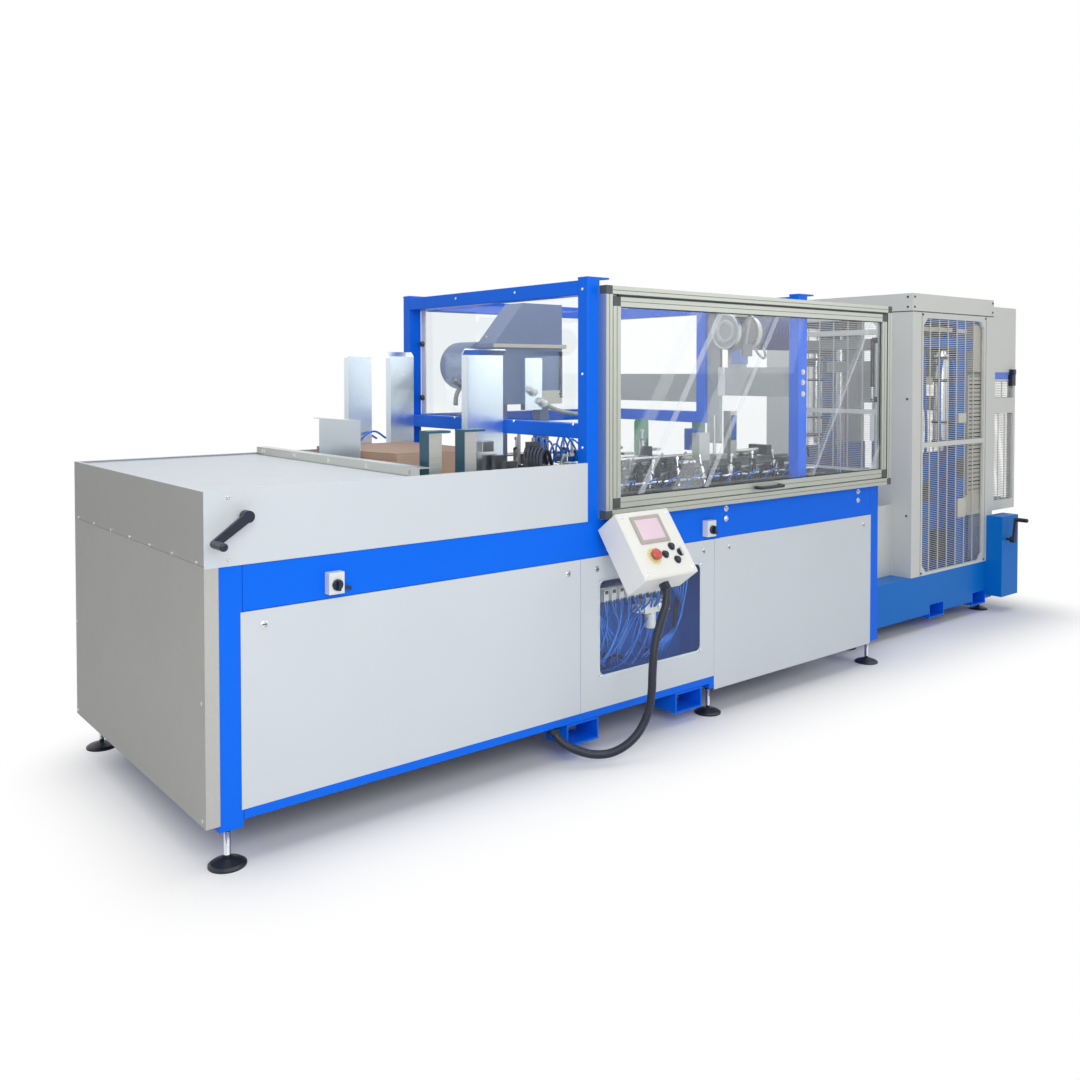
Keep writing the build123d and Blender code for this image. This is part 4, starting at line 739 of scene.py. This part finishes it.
# %% [markdown]
# The console's lid carries a touch screen in a bezel, a red stop button on a yellow
# plate, three black buttons, a selector and four corner screws. The face leans back,
# so each part is made flat and then placed with its Z along the face's normal.

# %% Console face
lean = math.radians(36.5)
face_normal = np.array([0.0, -math.cos(lean), math.sin(lean)])
face_up = np.array([0.0, math.sin(lean), math.cos(lean)])
face_origin = np.array([1757.0, -112.0, 993.0])


def on_face(shape, right, down, out=0.0):
    """A flat shape laid on the console's face: right of its middle line, down from its top."""
    place = face_origin + right * np.array([1.0, 0, 0]) - down * face_up + out * face_normal
    return placed(shape, [place], face_normal, face_up)


fitted("console_lid", [on_face(slab((-143, -143, -1), (143, 143, 2.5)), 0, 149)], console_cream,
       edge=0.0015)
fitted("screen_bezel", [
    on_face(slab((-82, 46, 0), (82, 62, 7)), -8, 88), on_face(slab((-82, -62, 0), (82, -46, 7)), -8, 88),
    on_face(slab((-82, -46, 0), (-64, 46, 7)), -8, 88), on_face(slab((64, -46, 0), (82, 46, 7)), -8, 88),
], bezel_grey, edge=0.001)
fitted("screen_face", [on_face(slab((-64.5, -46.5, 4), (64.5, 46.5, 6)), -8, 88)], screen_glass)
fitted("stop_plate", [on_face(turned([(0, 2), (36, 2), (36, 4.5), (34, 5.5), (0, 5.5)], 36), -52, 205)],
       yellow_plastic)
mushroom = turned([(0, 4), (13, 4), (13, 15), (23, 17), (24, 22), (22, 27), (15, 30), (6, 31), (0, 31)], 32)
fitted("stop_button", [on_face(mushroom, -52, 205)], red_plastic, smooth=True)
button_spots = ((10, 205), (62, 175), (62, 235))
collar = turned([(0, 2), (17, 2), (17, 5), (15, 7), (13, 7), (12.5, 10), (11.5, 13), (0, 13)], 24)
fitted("button_collars", [on_face(collar, right, down) for right, down in button_spots]
       + [on_face(collar, 96, 205)], black_plastic)
fitted("selector_grip", [on_face(slab((-5, -16, 12), (5, 16, 24)), 96, 205)], white_plastic, edge=0.002)
fitted("lid_screws", [on_face(screw(7, 4), right, down, 2) for right in (-126, 126) for down in (22, 276)],
       bright_steel)

# %% [markdown]
# The door's bars are extruded profiles with a slot along each face, and die-cast
# caps at the corners. The slots are dark strips laid along the bars' middle lines.

# %% Profile slots and corner caps
slot_half = 1.6


def frame_strips(x0, x1, z0, z1, profile, face, half):
    """Four strips along the middle lines of a rectangular frame's bars."""
    mid = profile / 2
    strips = [slab((x0 + profile, face - 0.5, z - half), (x1 - profile, face + 0.5, z + half))
              for z in (z0 + mid, z1 - mid)]
    return strips + [slab((x - half, face - 0.5, z0 + profile), (x + half, face + 0.5, z1 - profile))
                     for x in (x0 + mid, x1 - mid)]


def corner_caps(x0, x1, z0, z1, profile, face, depth):
    """A square cap over each corner of a rectangular frame."""
    return [slab((x, face - 1.5, z), (x + profile, face + depth, z + profile))
            for x in (x0 - 1, x1 - profile + 1) for z in (z0 - 1, z1 - profile + 1)]


outer = (1623, 3684, 961, 1907)
leaf = (1664, 3643, 1002, 1866)
fitted("frame_slots", frame_strips(*outer, 35, -45, slot_half), slot_shade)
fitted("frame_caps", corner_caps(*outer, 35, -45, 40), profile_dark, edge=0.002)
fitted("leaf_slots", frame_strips(*leaf, 42, -42, slot_half), slot_shade, "door")
fitted("leaf_caps", corner_caps(*leaf, 42, -42, 4), profile_dark, "door", edge=0.002)
fitted("pane_seals", [
    slab((1704, -31, 1042), (3603, -29, 1048)), slab((1704, -31, 1820), (3603, -29, 1826)),
    slab((1704, -31, 1048), (1710, -29, 1820)), slab((3597, -31, 1048), (3603, -29, 1820)),
], black_plastic, "door")

# %% [markdown]
# Behind the bay's clear cover each valve feeds two blue air lines. A line is a tube
# along a smooth curve, and the curves differ by their valve's number, so they cross
# and spread as hand-laid lines do.

# %% Valves and air lines in the bay
valve_x = 1700 + 44 * np.arange(9)
lines = []
for number, x in enumerate(valve_x):
    swing = 26 * math.sin(1.9 * number)
    low = 330 + 14 * (number % 4)
    bow = 44 if number < 5 else 120
    lines.append([(x + 9, 66, 596), (x + 9, 52, 566), (x + 6 + swing, bow, 480), (x - 60 + swing, bow + 20, low),
                  (x - 110, 140, low - 60)])
    lines.append([(x + 27, 66, 596), (x + 27, 60, 560), (x + 40 - swing, 110, 490), (x + 20 - 2 * swing, 140, low + 10),
                  (x + 70, 160, low - 70)])
for number in range(6):
    lines.append([(2215, 60 + 14 * number, 740), (2190 - 8 * number, 40 + 12 * number, 620),
                  (2150 + 12 * number, 50 + 8 * number, 450), (2120 - 30 * number, 110, 300)])
    lines.append([(1600, 60 + 14 * number, 700), (1640 + 10 * number, 40 + 12 * number, 560),
                  (1660 + 22 * number, 60, 430), (1640 + 40 * number, 120, 290)])
fitted("bay_air_lines", tubes(lines, 4.0, 8, 7), blue_tube, smooth=True)
valve_caps, valve_marks = [], []
for x in valve_x:
    valve_caps.append(slab((x + 4, 56, 600), (x + 32, 66, 648)))
    valve_marks.append(slab((x + 10, 53, 628), (x + 26, 56.5, 642)))
    valve_marks.append(placed(turned([(0, -2), (7, -2), (7, 12), (5, 16), (0, 16)], 12), [(x + 9, 70, 592)], (0, -0.3, -1))[0:2])
    valve_marks.append(placed(turned([(0, -2), (7, -2), (7, 12), (5, 16), (0, 16)], 12), [(x + 27, 70, 592)], (0, -0.3, -1))[0:2])
fitted("valve_caps", valve_caps, white_plastic, edge=0.0015)
fitted("valve_fittings", valve_marks, dark_steel)
gauge = turned([(0, 0), (20, 0), (20, 9), (18, 11), (17, 9), (0, 9)], 28)
fitted("pressure_gauge", [placed(gauge, [(2068, 84, 526)], to_front)], bright_steel)
fitted("air_unit", [
    slab((1975, 86, 498), (2130, 130, 552)), slab((1930, 92, 508), (1975, 124, 542)),
    placed(turned([(0, 0), (24, 0), (24, 22), (18, 30), (0, 30)], 20), [(2000, 108, 552)], to_roof),
    placed(turned([(0, 0), (13, 0), (13, 18), (0, 18)], 16), [(2110, 108, 552)], to_roof),
], white_plastic, edge=0.002)
fitted("bay_harness", tubes([
    [(1600, 150, 760), (1640, 130, 640), (1625, 120, 520), (1680, 130, 400), (1800, 140, 330)],
    [(1620, 150, 760), (1665, 120, 650), (1650, 110, 500), (1720, 120, 380), (1880, 140, 320)],
    [(2270, 150, 760), (2240, 110, 640), (2205, 120, 500), (2190, 130, 380), (2100, 140, 310)],
], 9, 10, 8), black_plastic, smooth=True)

# %% [markdown]
# The gear motor hangs under the guard's roof: a pale flange, a dark gear case, a pale
# ring, a ribbed blue body and a small end cap. One turned profile with a fin every
# few millimetres makes the ribs, and the rings are turned too.

# %% Gear motor
motor_y, motor_z = 420, 1768
along_x = (1, 0, 0)
fin_edges = np.arange(3082, 3392, 12.0)
fin_profile = [(0, 3067)] + [
    corner_point for x in fin_edges for corner_point in ((86, x), (86, x + 5), (91, x + 5.5), (91, x + 9.5))
] + [(86, 3396), (70, 3400), (0, 3400)]


def about_motor(profile, sides=36):
    """A profile of (radius, distance along X) turned about the motor's axis."""
    return placed(turned(profile, sides), [(0, motor_y, motor_z)], along_x)


fitted("motor_body", [about_motor(fin_profile)], paint(
    "motor_blue", (0.03, 0.07, 0.28), 0.35, tone=0.1, dust=0.08), smooth=False)
fitted("motor_rings", [
    about_motor([(0, 2884), (40, 2884), (40, 2879), (60, 2879), (60, 2884), (82, 2884), (84, 2880), (93, 2880),
                 (94, 2900), (88, 2906), (0, 2906)]),
    about_motor([(0, 3036), (93, 3038), (93.5, 3064), (86, 3070), (0, 3070)]),
    slab((2890, 350, 1842), (3010, 440, 1862)),
], stainless, edge=0.002)
fitted("motor_case", [
    about_motor([(0, 2904), (82, 2904), (84, 2960), (82, 3038), (0, 3038)]),
    slab((2925, 336, 1640), (3000, 404, 1706)), slab((3130, 380, 1846), (3250, 460, 1868)),
], dark_steel, edge=0.003)
fitted("motor_gland", [slab((2905, 345, 1600), (2975, 400, 1672))], shaded_azure, edge=0.003)
fitted("motor_cable", tubes([
    [(3055, 380, 1700), (3062, 350, 1655), (3090, 340, 1632), (3124, 352, 1648), (3135, 380, 1700)],
    [(3160, 400, 1852), (3090, 380, 1872), (3010, 350, 1862), (2960, 330, 1800), (2950, 340, 1700)],
], 7, 10, 10), grey_tube, smooth=True)

# %% [markdown]
# The beams of the partition end in pale joint plates, and a pale gasket holds the
# guard's left pane. They are thin boxes laid on the beams.

# %% Joint plates and gasket
fitted("joint_plates", [
    slab((2955, 486, 1434), (2958.5, 532, 1585)), slab((2955, 1300, 1396), (2958.5, 1342, 1551)),
    slab((1625, 1306, 1348), (1631, 1344, 1868)), slab((4320, 470, 1140), (4326, 500, 1300)),
], white_plastic, edge=0.001)
fitted("gasket_knobs", [placed(screw(14, 16), [(1625, 1325, z) for z in (1700, 1430)], to_infeed)],
       dark_steel)

# %% [markdown]
# The feeder's cabinet has a pale ledge and base, a zinc plate in front and a drum whose guard carries a pale crescent,
# a painted highlight. Ribbed and plain hoses leave the drum. The ribbed one is a ring carried along a curve with a wave
# in its radius.

# %% Feeder fittings
fitted("feeder_ledge", [slab((1743, 883, 1678), (2201, 886, 1696)), slab((2010, 896, 1402), (2182, 900, 1466))],
       cover_cream, edge=0.001)
fitted("feeder_plate", [slab((1918, 862, 1372), (2025, 866, 1628)), slab((1918, 866, 1372), (1922, 900, 1628))],
       zinc, edge=0.001)
fitted("feeder_chain", [slab((2168 - 5 * (k % 2), 893, 1430 + 13 * k), (2182, 900, 1440 + 13 * k)) for k in range(18)],
       dark_steel)
# The pale crescent on the drum's guard is a painted highlight, pressed flat against the guard.
crescent_angle = np.linspace(math.radians(110), math.radians(215), 18)
crescent_middle = np.stack([1798 + 78 * np.cos(crescent_angle), np.full(18, 1043.0), 1590 + 78 * np.sin(crescent_angle)], -1)
crescent = carried(crescent_middle, 3 + 11 * np.sin(np.linspace(0.05, math.pi - 0.05, 18)), 10)
crescent_points = crescent[0].copy()
crescent_points[:, 1] = 1043 + 0.12 * (crescent_points[:, 1] - 1043)
fitted("drum_painted_highlight", [(crescent_points, crescent[1])], white_plastic, smooth=True)
hose_line = smooth_path([(1790, 1010, 1716), (1850, 985, 1722), (1915, 950, 1748), (1960, 930, 1760)], 30)
hose_wave = 20 + 3.5 * np.cos(np.arange(len(hose_line)) * 1.55)
fitted("feeder_hose", [carried(hose_line, hose_wave, 16)], cover_cream, smooth=True)
fitted("feeder_pipes", tubes([
    [(1700, 1010, 1560), (1640, 1000, 1500), (1600, 990, 1450), (1590, 985, 1400)],
    [(1760, 1000, 1480), (1680, 990, 1488), (1610, 985, 1502), (1580, 980, 1520)],
    [(1770, 1000, 1440), (1700, 990, 1400), (1650, 985, 1370), (1610, 980, 1350)],
    [(2020, 850, 1408), (2100, 850, 1372), (2190, 850, 1352), (2290, 850, 1342)],
    [(1700, 1000, 1470), (1680, 990, 1420), (1690, 985, 1360), (1720, 980, 1330)],
], 11, 10, 8), grey_tube, smooth=True)
fitted("pipe_joints", [
    placed(turned([(0, -18), (15, -18), (15, 14), (19, 16), (19, 26), (0, 26)], 16), [place], (0.8, 0, -0.45))
    for place in ((1950, 850, 1468), (2012, 850, 1412))
], white_plastic)

# %% [markdown]
# The guard's clear sheets lie against the posts and the bay's front. Each is drawn a hair
# off the sheet behind it, because two faces in one place would render black.

# %% Clear sheets
guard_sheets = fitted("guard_sheets", [
    slab((1631, 45, 1306), (1635.6, 1349, 1910)), slab((1636, 1349.4, 1306), (2944, 1353.6, 1910)),
    slab((1621, -2.3, 304), (2245, 0.7, 712)),
], clear_sheet)
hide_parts("clear_panes")

# %% [markdown]
# The operator's pane is a large acrylic sheet that shows long slanting streaks of reflected light. They are painted
# reflections: a film a fifth of a millimetre off the pane whose opacity is noise stretched along one slanting
# direction. The noise reads only the distance across that direction.

# %% Painted reflection streaks on the pane
# The film's pale streaks and its faint overall veil are painted reflections on the pane.
reflection_film = paint("painted_pane_reflections", (0.86, 0.90, 0.94), 0.3, tone=0.0, grain=0.0, dust=0.0, bump=0.0)
film_tree = reflection_film.node_tree
film_place = film_tree.nodes.new("ShaderNodeTexCoord")
film_across = film_tree.nodes.new("ShaderNodeVectorMath")
film_across.operation = "DOT_PRODUCT"
film_across.inputs[1].default_value = (0.84, 0.0, -0.54)
film_tree.links.new(film_place.outputs["Object"], film_across.inputs[0])
reflection_streaks = []
for per_metre, low, high, strength in ((3.1, 0.56, 0.60, 0.10), (9.0, 0.63, 0.66, 0.20)):
    streak_noise = film_tree.nodes.new("ShaderNodeTexNoise")
    streak_noise.noise_dimensions = "1D"
    streak_noise.inputs["Scale"].default_value = per_metre
    streak_noise.inputs["Detail"].default_value = 2.0
    film_tree.links.new(film_across.outputs["Value"], streak_noise.inputs["W"])
    step = film_tree.nodes.new("ShaderNodeMapRange")
    step.inputs["From Min"].default_value = low
    step.inputs["From Max"].default_value = high
    step.inputs["To Max"].default_value = strength
    film_tree.links.new(streak_noise.outputs["Fac"], step.inputs["Value"])
    reflection_streaks.append(step.outputs["Result"])
film_alpha = math_node(film_tree, "ADD", math_node(film_tree, "ADD", *reflection_streaks), 0.035)
film_tree.links.new(film_alpha, film_tree.nodes["Principled BSDF"].inputs["Alpha"])
fitted("pane_reflection_film", [slab((1711, -30.0, 1049), (3596, -29.8, 1819))], reflection_film, "door")

# %% [markdown]
# The magazine is set by hand: each clamp stand has a black lever, and dark teal plates on its top and infeed side that
# are painted shade. The blanks end beside a row of black hoses that feed the suction arms.

# %% Magazine clamps and hoses
clamp_shade_parts, clamp_marks = [], []
# The cap, the thin plate on the infeed side and the strip below are painted shade on the stands.
for x in (893, 1053):
    clamp_shade_parts += [slab((x - 3, 127, 1328), (x + 95, 193, 1337)), slab((x - 3, 128, 1104), (x - 0.5, 192, 1330)),
                    slab((x - 20, 118, 1100), (x + 112, 128, 1118))]
    clamp_marks += [carried([(x + 18, 112, 1132), (x + 52, 106, 1150), (x + 78, 100, 1164)], (7, 8, 5), 10),
                    placed(screw(13, 16), [(x + 18, 118, 1128), (x + 88, 118, 1112)], to_front)]
fitted("clamp_shade_plates", clamp_shade_parts, clamp_shade_teal, edge=0.0015)
fitted("clamp_grips", clamp_marks, black_plastic, smooth=False, edge=0.001)
suction_paths = [
    [(1452 + 10 * k, 150 + 34 * k, 1102), (1440 + 10 * k, 150 + 34 * k, 1180), (1466 + 9 * k, 165 + 34 * k, 1232),
     (1512 + 6 * k, 190 + 34 * k, 1226), (1540, 200 + 34 * k, 1170)] for k in range(6)
]
fitted("suction_hoses", tubes(suction_paths, 8, 8, 8), black_plastic, smooth=True)
fitted("suction_lines", tubes([
    [(1040 + 60 * k, 1300 - 12 * k, 1216), (1080 + 60 * k, 1290 - 12 * k, 1262), (1150 + 60 * k, 1290, 1270),
     (1240 + 50 * k, 1296, 1236)] for k in range(4)
], 5, 8, 8), blue_tube, smooth=True)
arm_blocks = [slab((1470, 120 + 76 * k, 1103), (1530, 150 + 76 * k, 1150 + 22 * (k % 3))) for k in range(7)]
arm_blocks += [slab((1500, 300, 1150), (1560, 330, 1262)), slab((1350, 96, 1100), (1562, 108, 1112))]
fitted("suction_arms", arm_blocks, dark_steel, edge=0.002)
fitted("suction_blocks", [slab((1380, 470, 1216), (1440, 540, 1262)), slab((1520, 62, 1104), (1556, 110, 1190)),
                          slab((1250, 100, 1101), (1330, 116, 1110))], stainless, edge=0.002)

# %% [markdown]
# Under the operator's pane the blank is carried by belts and folded by small air
# cylinders. A cylinder is a bright barrel between two dark heads with a thin rod, all
# turned from one profile each. Copies stand and lie along the two lanes.

# %% Forming mechanism: belts, plates and cylinders
lane_middles = (520, 900)
belt_shapes = []
for y in lane_middles:
    belt_shapes.append(slab((1652, y - 14, 1073), (2668, y + 14, 1078)))
    belt_shapes += [placed(turned([(0, -22), (30, -22), (30, 22), (0, 22)], 24), [(x, y, 1046)], to_front)
                    for x in (1662, 2640)]
fitted("lane_belts", belt_shapes, black_plastic)


def barrel(length, radius):
    """The bright tube of an air cylinder, from its foot at zero up to its length."""
    return turned([(0, 0), (radius, 0), (radius, length), (0, length)], 16)


def heads(length, radius):
    """The two dark heads of an air cylinder and the collar that guides its rod."""
    wide = 1.25 * radius
    return [turned([(0, base), (wide, base), (wide, base + 14), (0, base + 14)], 4) for base in (-6, length - 8)] + [
        turned([(0, length), (0.6 * radius, length), (0.6 * radius, length + 10), (0, length + 10)], 12)]


def push_rod(length, radius):
    """The thin rod of an air cylinder with a fork nut on its end."""
    thin = 0.3 * radius
    return turned([(0, length), (thin, length), (thin, length + 42), (2 * thin, length + 44), (2 * thin, length + 58),
                   (0, length + 58)], 10)


cylinder_places = [
    ((1715, 450, 1092), (1, 0, 0), 130, 17), ((1990, 452, 1096), (1, 0, 0), 150, 18), ((2260, 470, 1104), (1, 0, 0), 110, 15),
    ((2520, 462, 1100), (1, 0, 0), 120, 17), ((1840, 560, 1096), (0, 1, 0), 120, 16), ((2120, 565, 1100), (0, 1, 0), 150, 16),
    ((2400, 560, 1094), (0, 1, 0), 130, 17), ((2600, 560, 1090), (0, 1, 0), 110, 15), ((1770, 600, 1085), (0, 0, 1), 95, 15),
    ((1935, 590, 1085), (0, 0, 1), 110, 15), ((2205, 600, 1085), (0, 0, 1), 84, 15), ((2560, 700, 1085), (0, 0, 1), 120, 15),
    ((1860, 860, 1085), (0, 0, 1), 100, 15), ((2330, 850, 1085), (0, 0, 1), 110, 15), ((3300, 560, 1110), (-1, 0, 0), 120, 15),
]
barrels, head_shapes, rod_shapes = [], [], []
for place, axis, length, radius in cylinder_places:
    barrels.append(placed(barrel(length, radius), [place], axis))
    head_shapes += [placed(head, [place], axis) for head in heads(length, radius)]
    rod_shapes.append(placed(push_rod(length, radius), [place], axis))
fitted("fold_barrels", barrels, bright_steel)
fitted("fold_heads", head_shapes, dark_steel, edge=0.001)
fitted("fold_rods", rod_shapes, bright_steel)

plate_shapes = []
for number in range(9):
    x = 1690 + 112 * number
    rise = 60 + 26 * ((number * 2) % 4)
    plate_shapes += [slab((x, 548, 1074), (x + 8, 628, 1074 + rise)), slab((x, 548, 1074), (x + 66, 556, 1096 + rise // 3)),
                     slab((x + 20, 424, 1068), (x + 52, 470, 1082 + rise // 4))]
plate_shapes += [slab((x, 932, 1073), (x + 10, 990, 1150)) for x in (1760, 1980, 2200, 2420)]
plate_shapes += [slab((1660, 640, 1066), (2640, 664, 1084)), slab((1660, 780, 1060), (2640, 800, 1080)),
                 slab((1655, 424, 953), (2110, 440, 1064)), slab((3290, 470, 1104), (3330, 600, 1160)),
                 slab((3400, 430, 1068), (3540, 500, 1090))]
fitted("fold_plates", plate_shapes, dark_steel, edge=0.0015)
bright_shapes = [slab((x, 560, 1150 + 12 * (k % 3)), (x + 74, 600, 1162 + 12 * (k % 3)))
                 for k, x in enumerate((1700, 1900, 2080, 2300, 2480))]
bright_shapes += [slab((1860, 470, 1078), (1930, 500, 1120)), slab((2150, 470, 1078), (2210, 496, 1132)),
                  slab((2440, 560, 1084), (2500, 610, 1140)), slab((2900, 496, 1100), (2990, 544, 1128)),
                  slab((2119, 384, 1060), (3385, 416, 1068)), slab((2140, 383.4, 1000), (3370, 385, 1008))]
bright_shapes += [carried([(1680, y, z), (2660, y, z)], 9, 12) for y, z in ((446, 1140), (700, 1118), (960, 1150))]
bright_shapes += [carried([(x, y, 1074), (x, y, top)], 8, 12)
                  for x, y, top in ((1745, 690, 1270), (1830, 690, 1250), (2080, 700, 1300), (2960, 560, 1330), (3110, 560, 1250))]
fitted("fold_rails", bright_shapes, stainless, edge=0.001)
fitted("lane_stops", [slab((3020, 493, 1196), (3062, 497, 1330)), slab((2790, 560, 1150), (2860, 620, 1262)),
                      slab((2000, 600, 1080), (2040, 640, 1170))], shaded_azure, edge=0.002)

# %% [markdown]
# In front of the side beam runs a second row: a slotted wiring duct, short cylinders
# that tilt the blank's front edge, and the sensors' brackets.

# %% Forming mechanism: front row
front_dark = [slab((1655, 250, 954), (3520, 300, 1006)), slab((1655, 246, 1006), (3520, 304, 1012))]
front_dark += [slab((x, 244, 962), (x + 7, 250, 1000)) for x in np.arange(1660, 3510, 26.0)]
front_dark += [slab((x, 320, 954), (x + 46, 372, 1000 + 16 * (k % 4))) for k, x in enumerate(range(1672, 3300, 118))]
front_dark += [slab((x + 60, 338, 954), (x + 66, 380, 1082 + 14 * (k % 3))) for k, x in enumerate(range(1672, 3300, 118))]
fitted("front_duct", front_dark, dark_steel, edge=0.001)
front_bright, front_heads = [], []
for number, x in enumerate(range(1700, 3250, 190)):
    tilt = (0.35 - 0.2 * (number % 3), 0.2, 1)
    front_bright += [placed(barrel(86, 14), [(x, 350, 1004)], tilt), placed(push_rod(86, 14), [(x, 350, 1004)], tilt)]
    front_heads += [placed(head, [(x, 350, 1004)], tilt) for head in heads(86, 14)]
front_bright += [carried([(1660, 318, 1036), (3500, 318, 1036)], 8, 12), slab((3290, 300, 954), (3400, 380, 1040))]
fitted("tilt_barrels", front_bright, bright_steel)
fitted("tilt_heads", front_heads, dark_steel)
fitted("front_lines", tubes([
    [(1668 + 104 * k, 300, 1012), (1676 + 104 * k, 286, 1062 + 12 * (k % 3)), (1716 + 104 * k, 300, 1084 - 10 * (k % 2)),
     (1756 + 104 * k, 340, 1030)] for k in range(16)
], 5, 8, 8), black_plastic, smooth=True)
fitted("front_lines_blue", tubes([
    [(1700 + 150 * k, 296, 1012), (1720 + 150 * k, 270, 1046), (1790 + 150 * k, 276, 1058), (1840 + 150 * k, 330, 1016)]
    for k in range(11)
], 4, 8, 8), blue_tube, smooth=True)

# %% [markdown]
# Air lines and one link chain feed the moving parts. The lines are tubes again, and the
# chain is one link repeated along a bend, each link turned to follow it.

# %% Forming mechanism: lines and chain
arc_lines = []
for number in range(7):
    x = 1668 + 46 * number
    arc_lines.append([(x, 470 + 20 * number, 1100), (x - 10, 470 + 16 * number, 1200 + 12 * (number % 3)),
                      (x + 40, 500 + 14 * number, 1268 - 14 * (number % 4)), (x + 90, 560, 1180), (x + 100, 590, 1100)])
pale_lines = [[(x, 450, 1080), (x - 24, 420, 1130), (x + 10, 430, 1190 - 9 * k), (x + 60, 480, 1150), (x + 76, 540, 1084)]
              for k, x in enumerate((1700, 1790, 1900, 2050, 2230, 2420, 2590))]
fitted("fold_lines_blue", tubes(arc_lines, 4.5, 8, 8), blue_tube, smooth=True)
fitted("fold_lines_pale", tubes(pale_lines, 4.5, 8, 8), grey_tube, smooth=True)
fitted("fold_lines_black", tubes([
    [(1640 + 80 * k, 424, 1060), (1670 + 80 * k, 416, 1112), (1720 + 80 * k, 430, 1126 - 8 * (k % 3)), (1760 + 80 * k, 452, 1076)]
    for k in range(11)
] + [[(3420, 380, 1080), (3440, 360, 1130), (3500, 360, 1142), (3540, 380, 1090)]], 6, 8, 8),
    black_plastic, smooth=True)
bend = np.linspace(-math.pi / 2, math.pi / 2, 13)
chain_x = np.concatenate([np.arange(2560, 2740, 21.0), 2740 + 58 * np.cos(bend), np.arange(2740, 2540, -21.0)])
chain_z = np.concatenate([np.full(9, 988.0), 1046 + 58 * np.sin(bend), np.full(10, 1104.0)])
chain_line = np.stack([chain_x, np.full(len(chain_x), 640.0), chain_z], -1)
chain_step = np.gradient(chain_line, axis=0)
link = slab((-22, -11, -9.5), (22, 11, 9.5))
fitted("link_chain", [placed(link, [place], step, (0, 1, 0)) for place, step in zip(chain_line, chain_step)],
       black_plastic, edge=0.002)

# %% [markdown]
# Inside the tower the ribbed cover shows a stack of dark slots, the press cylinders have
# collars and nuts, and a service block hangs beside them. The fascia has a groove and
# small screws.

# %% Tower fittings
slot_heights = np.arange(800, 1530, 26.0)
fitted("cover_slots", [slab((5044, y - 1, z), (5190, y + 1, z + 9)) for y in (245,) for z in slot_heights]
       + [slab((5029, 262, z), (5031, 316, z + 9)) for z in slot_heights], seam_shade)
fitted("fascia_groove", [slab((4327, 215.4, 1919), (5297, 216.4, 1925)), slab((4325.4, 217, 1919), (4326.4, 1299, 1925)),
                         slab((4424, 215.4, 331), (4427, 216.4, 1918)), slab((5198, 215.4, 331), (5201, 216.4, 1918))],
       seam_shade)
tower_screws = [(x, 216, z) for x in (4344, 5280) for z in (1948, 2008)] + [(4436, 216, 1906), (5189, 216, 1906),
                                                                              (4436, 216, 345), (5189, 216, 345)]
wall_screws = [(4326, y, z) for y in (250, 1266) for z in (1948, 2008, 1400, 700)]
fitted("tower_screws", [placed(screw(7, 4), tower_screws, to_front), placed(screw(7, 4), wall_screws, to_infeed)],
       dark_steel)
collar_shapes = []
for y in (286, 1230):
    for z in (1120, 1240, 1500, 1640):
        collar_shapes.append(placed(turned([(0, 0), (59, 0), (59, 16), (0, 16)], 8), [(4777, y, z)], to_roof))
    collar_shapes.append(slab((4700, y - 44, 1690), (4860, y + 44, 1712)))
fitted("press_collars", collar_shapes, dark_steel, edge=0.002)
fitted("press_pipes", tubes([
    [(4720, 250, 1640), (4690, 246, 1500), (4690, 246, 1200), (4720, 250, 1120)],
    [(4840, 250, 1640), (4852, 246, 1560), (4866, 246, 1400), (4866, 246, 1180)],
    [(4560, 300, 1700), (4540, 290, 1500), (4560, 290, 1200), (4540, 300, 900)],
    [(4600, 300, 1700), (4590, 290, 1450), (4610, 290, 1150), (4580, 300, 860)],
], 9, 10, 8), blue_tube, smooth=True)
fitted("press_details", [
    slab((4500, 250, 1810), (4840, 262, 1838)), slab((4880, 236, 1806), (4990, 242, 1834)),
    slab((4890, 230, 1240), (4984, 241, 1300)), slab((4890, 230, 640), (4984, 241, 760)),
    slab((5010, 236, 1100), (5190, 244, 1112)), slab((5010, 236, 646), (5190, 243, 668)),
    slab((4560, 300, 1480), (4700, 330, 1530)),
], cover_cream, edge=0.002)
fitted("press_darks", [
    slab((4480, 300, 1600), (4700, 330, 1650)), slab((4470, 300, 1200), (4540, 330, 1420)),
    slab((4600, 300, 760), (4700, 330, 880)), slab((4470, 300, 500), (4560, 330, 640)),
    slab((4740, 300, 380), (4860, 330, 560)), slab((4890, 236, 900), (4984, 241, 1010)),
    slab((4480, 1180, 1600), (4700, 1210, 1650)), slab((4470, 1180, 1000), (4540, 1210, 1420)),
], dark_steel, edge=0.002)

# %% [markdown]
# The outfeed guard carries a band of blue slats below its pale sheet. One slat is a thin
# box, repeated across the front and the end.

# %% Outfeed band
slats = [slab((x, 214.5, 1514), (x + 7, 216.5, 1560)) for x in np.arange(5324, 5570, 14.0)]
slats += [slab((5596.4, y, 1514), (5598, y + 7, 1560)) for y in np.arange(246, 1030, 14.0)]
fitted("outfeed_slats", slats, azure)
fitted("outfeed_socket", [slab((5500, 186, 1470), (5546, 216, 1545)), slab((5506, 180, 1545), (5540, 212, 1580))],
       black_plastic, edge=0.003)

# %% [markdown]
# Each levelling foot stands on a threaded stem. The thread is a profile that goes out
# and in along the stem, turned about it, which is close enough at this scale.

# %% Foot threads
foot_places = [(x, y, 0) for x in (83, 2335, 3603) for y in (43, 1374)] + [
    (x, y, 0) for x in (3760, 5256) for y in (283.5, 1232.5)]
thread_z = np.arange(34, 122, 3.0)
thread_profile = [(0, 30)] + [ridge for z in thread_z for ridge in ((9.4, z), (10.6, z + 1.5))] + [(9.4, 123), (0, 123)]
fitted("foot_threads", [placed(turned(thread_profile, 16), foot_places[:6])], bright_steel)
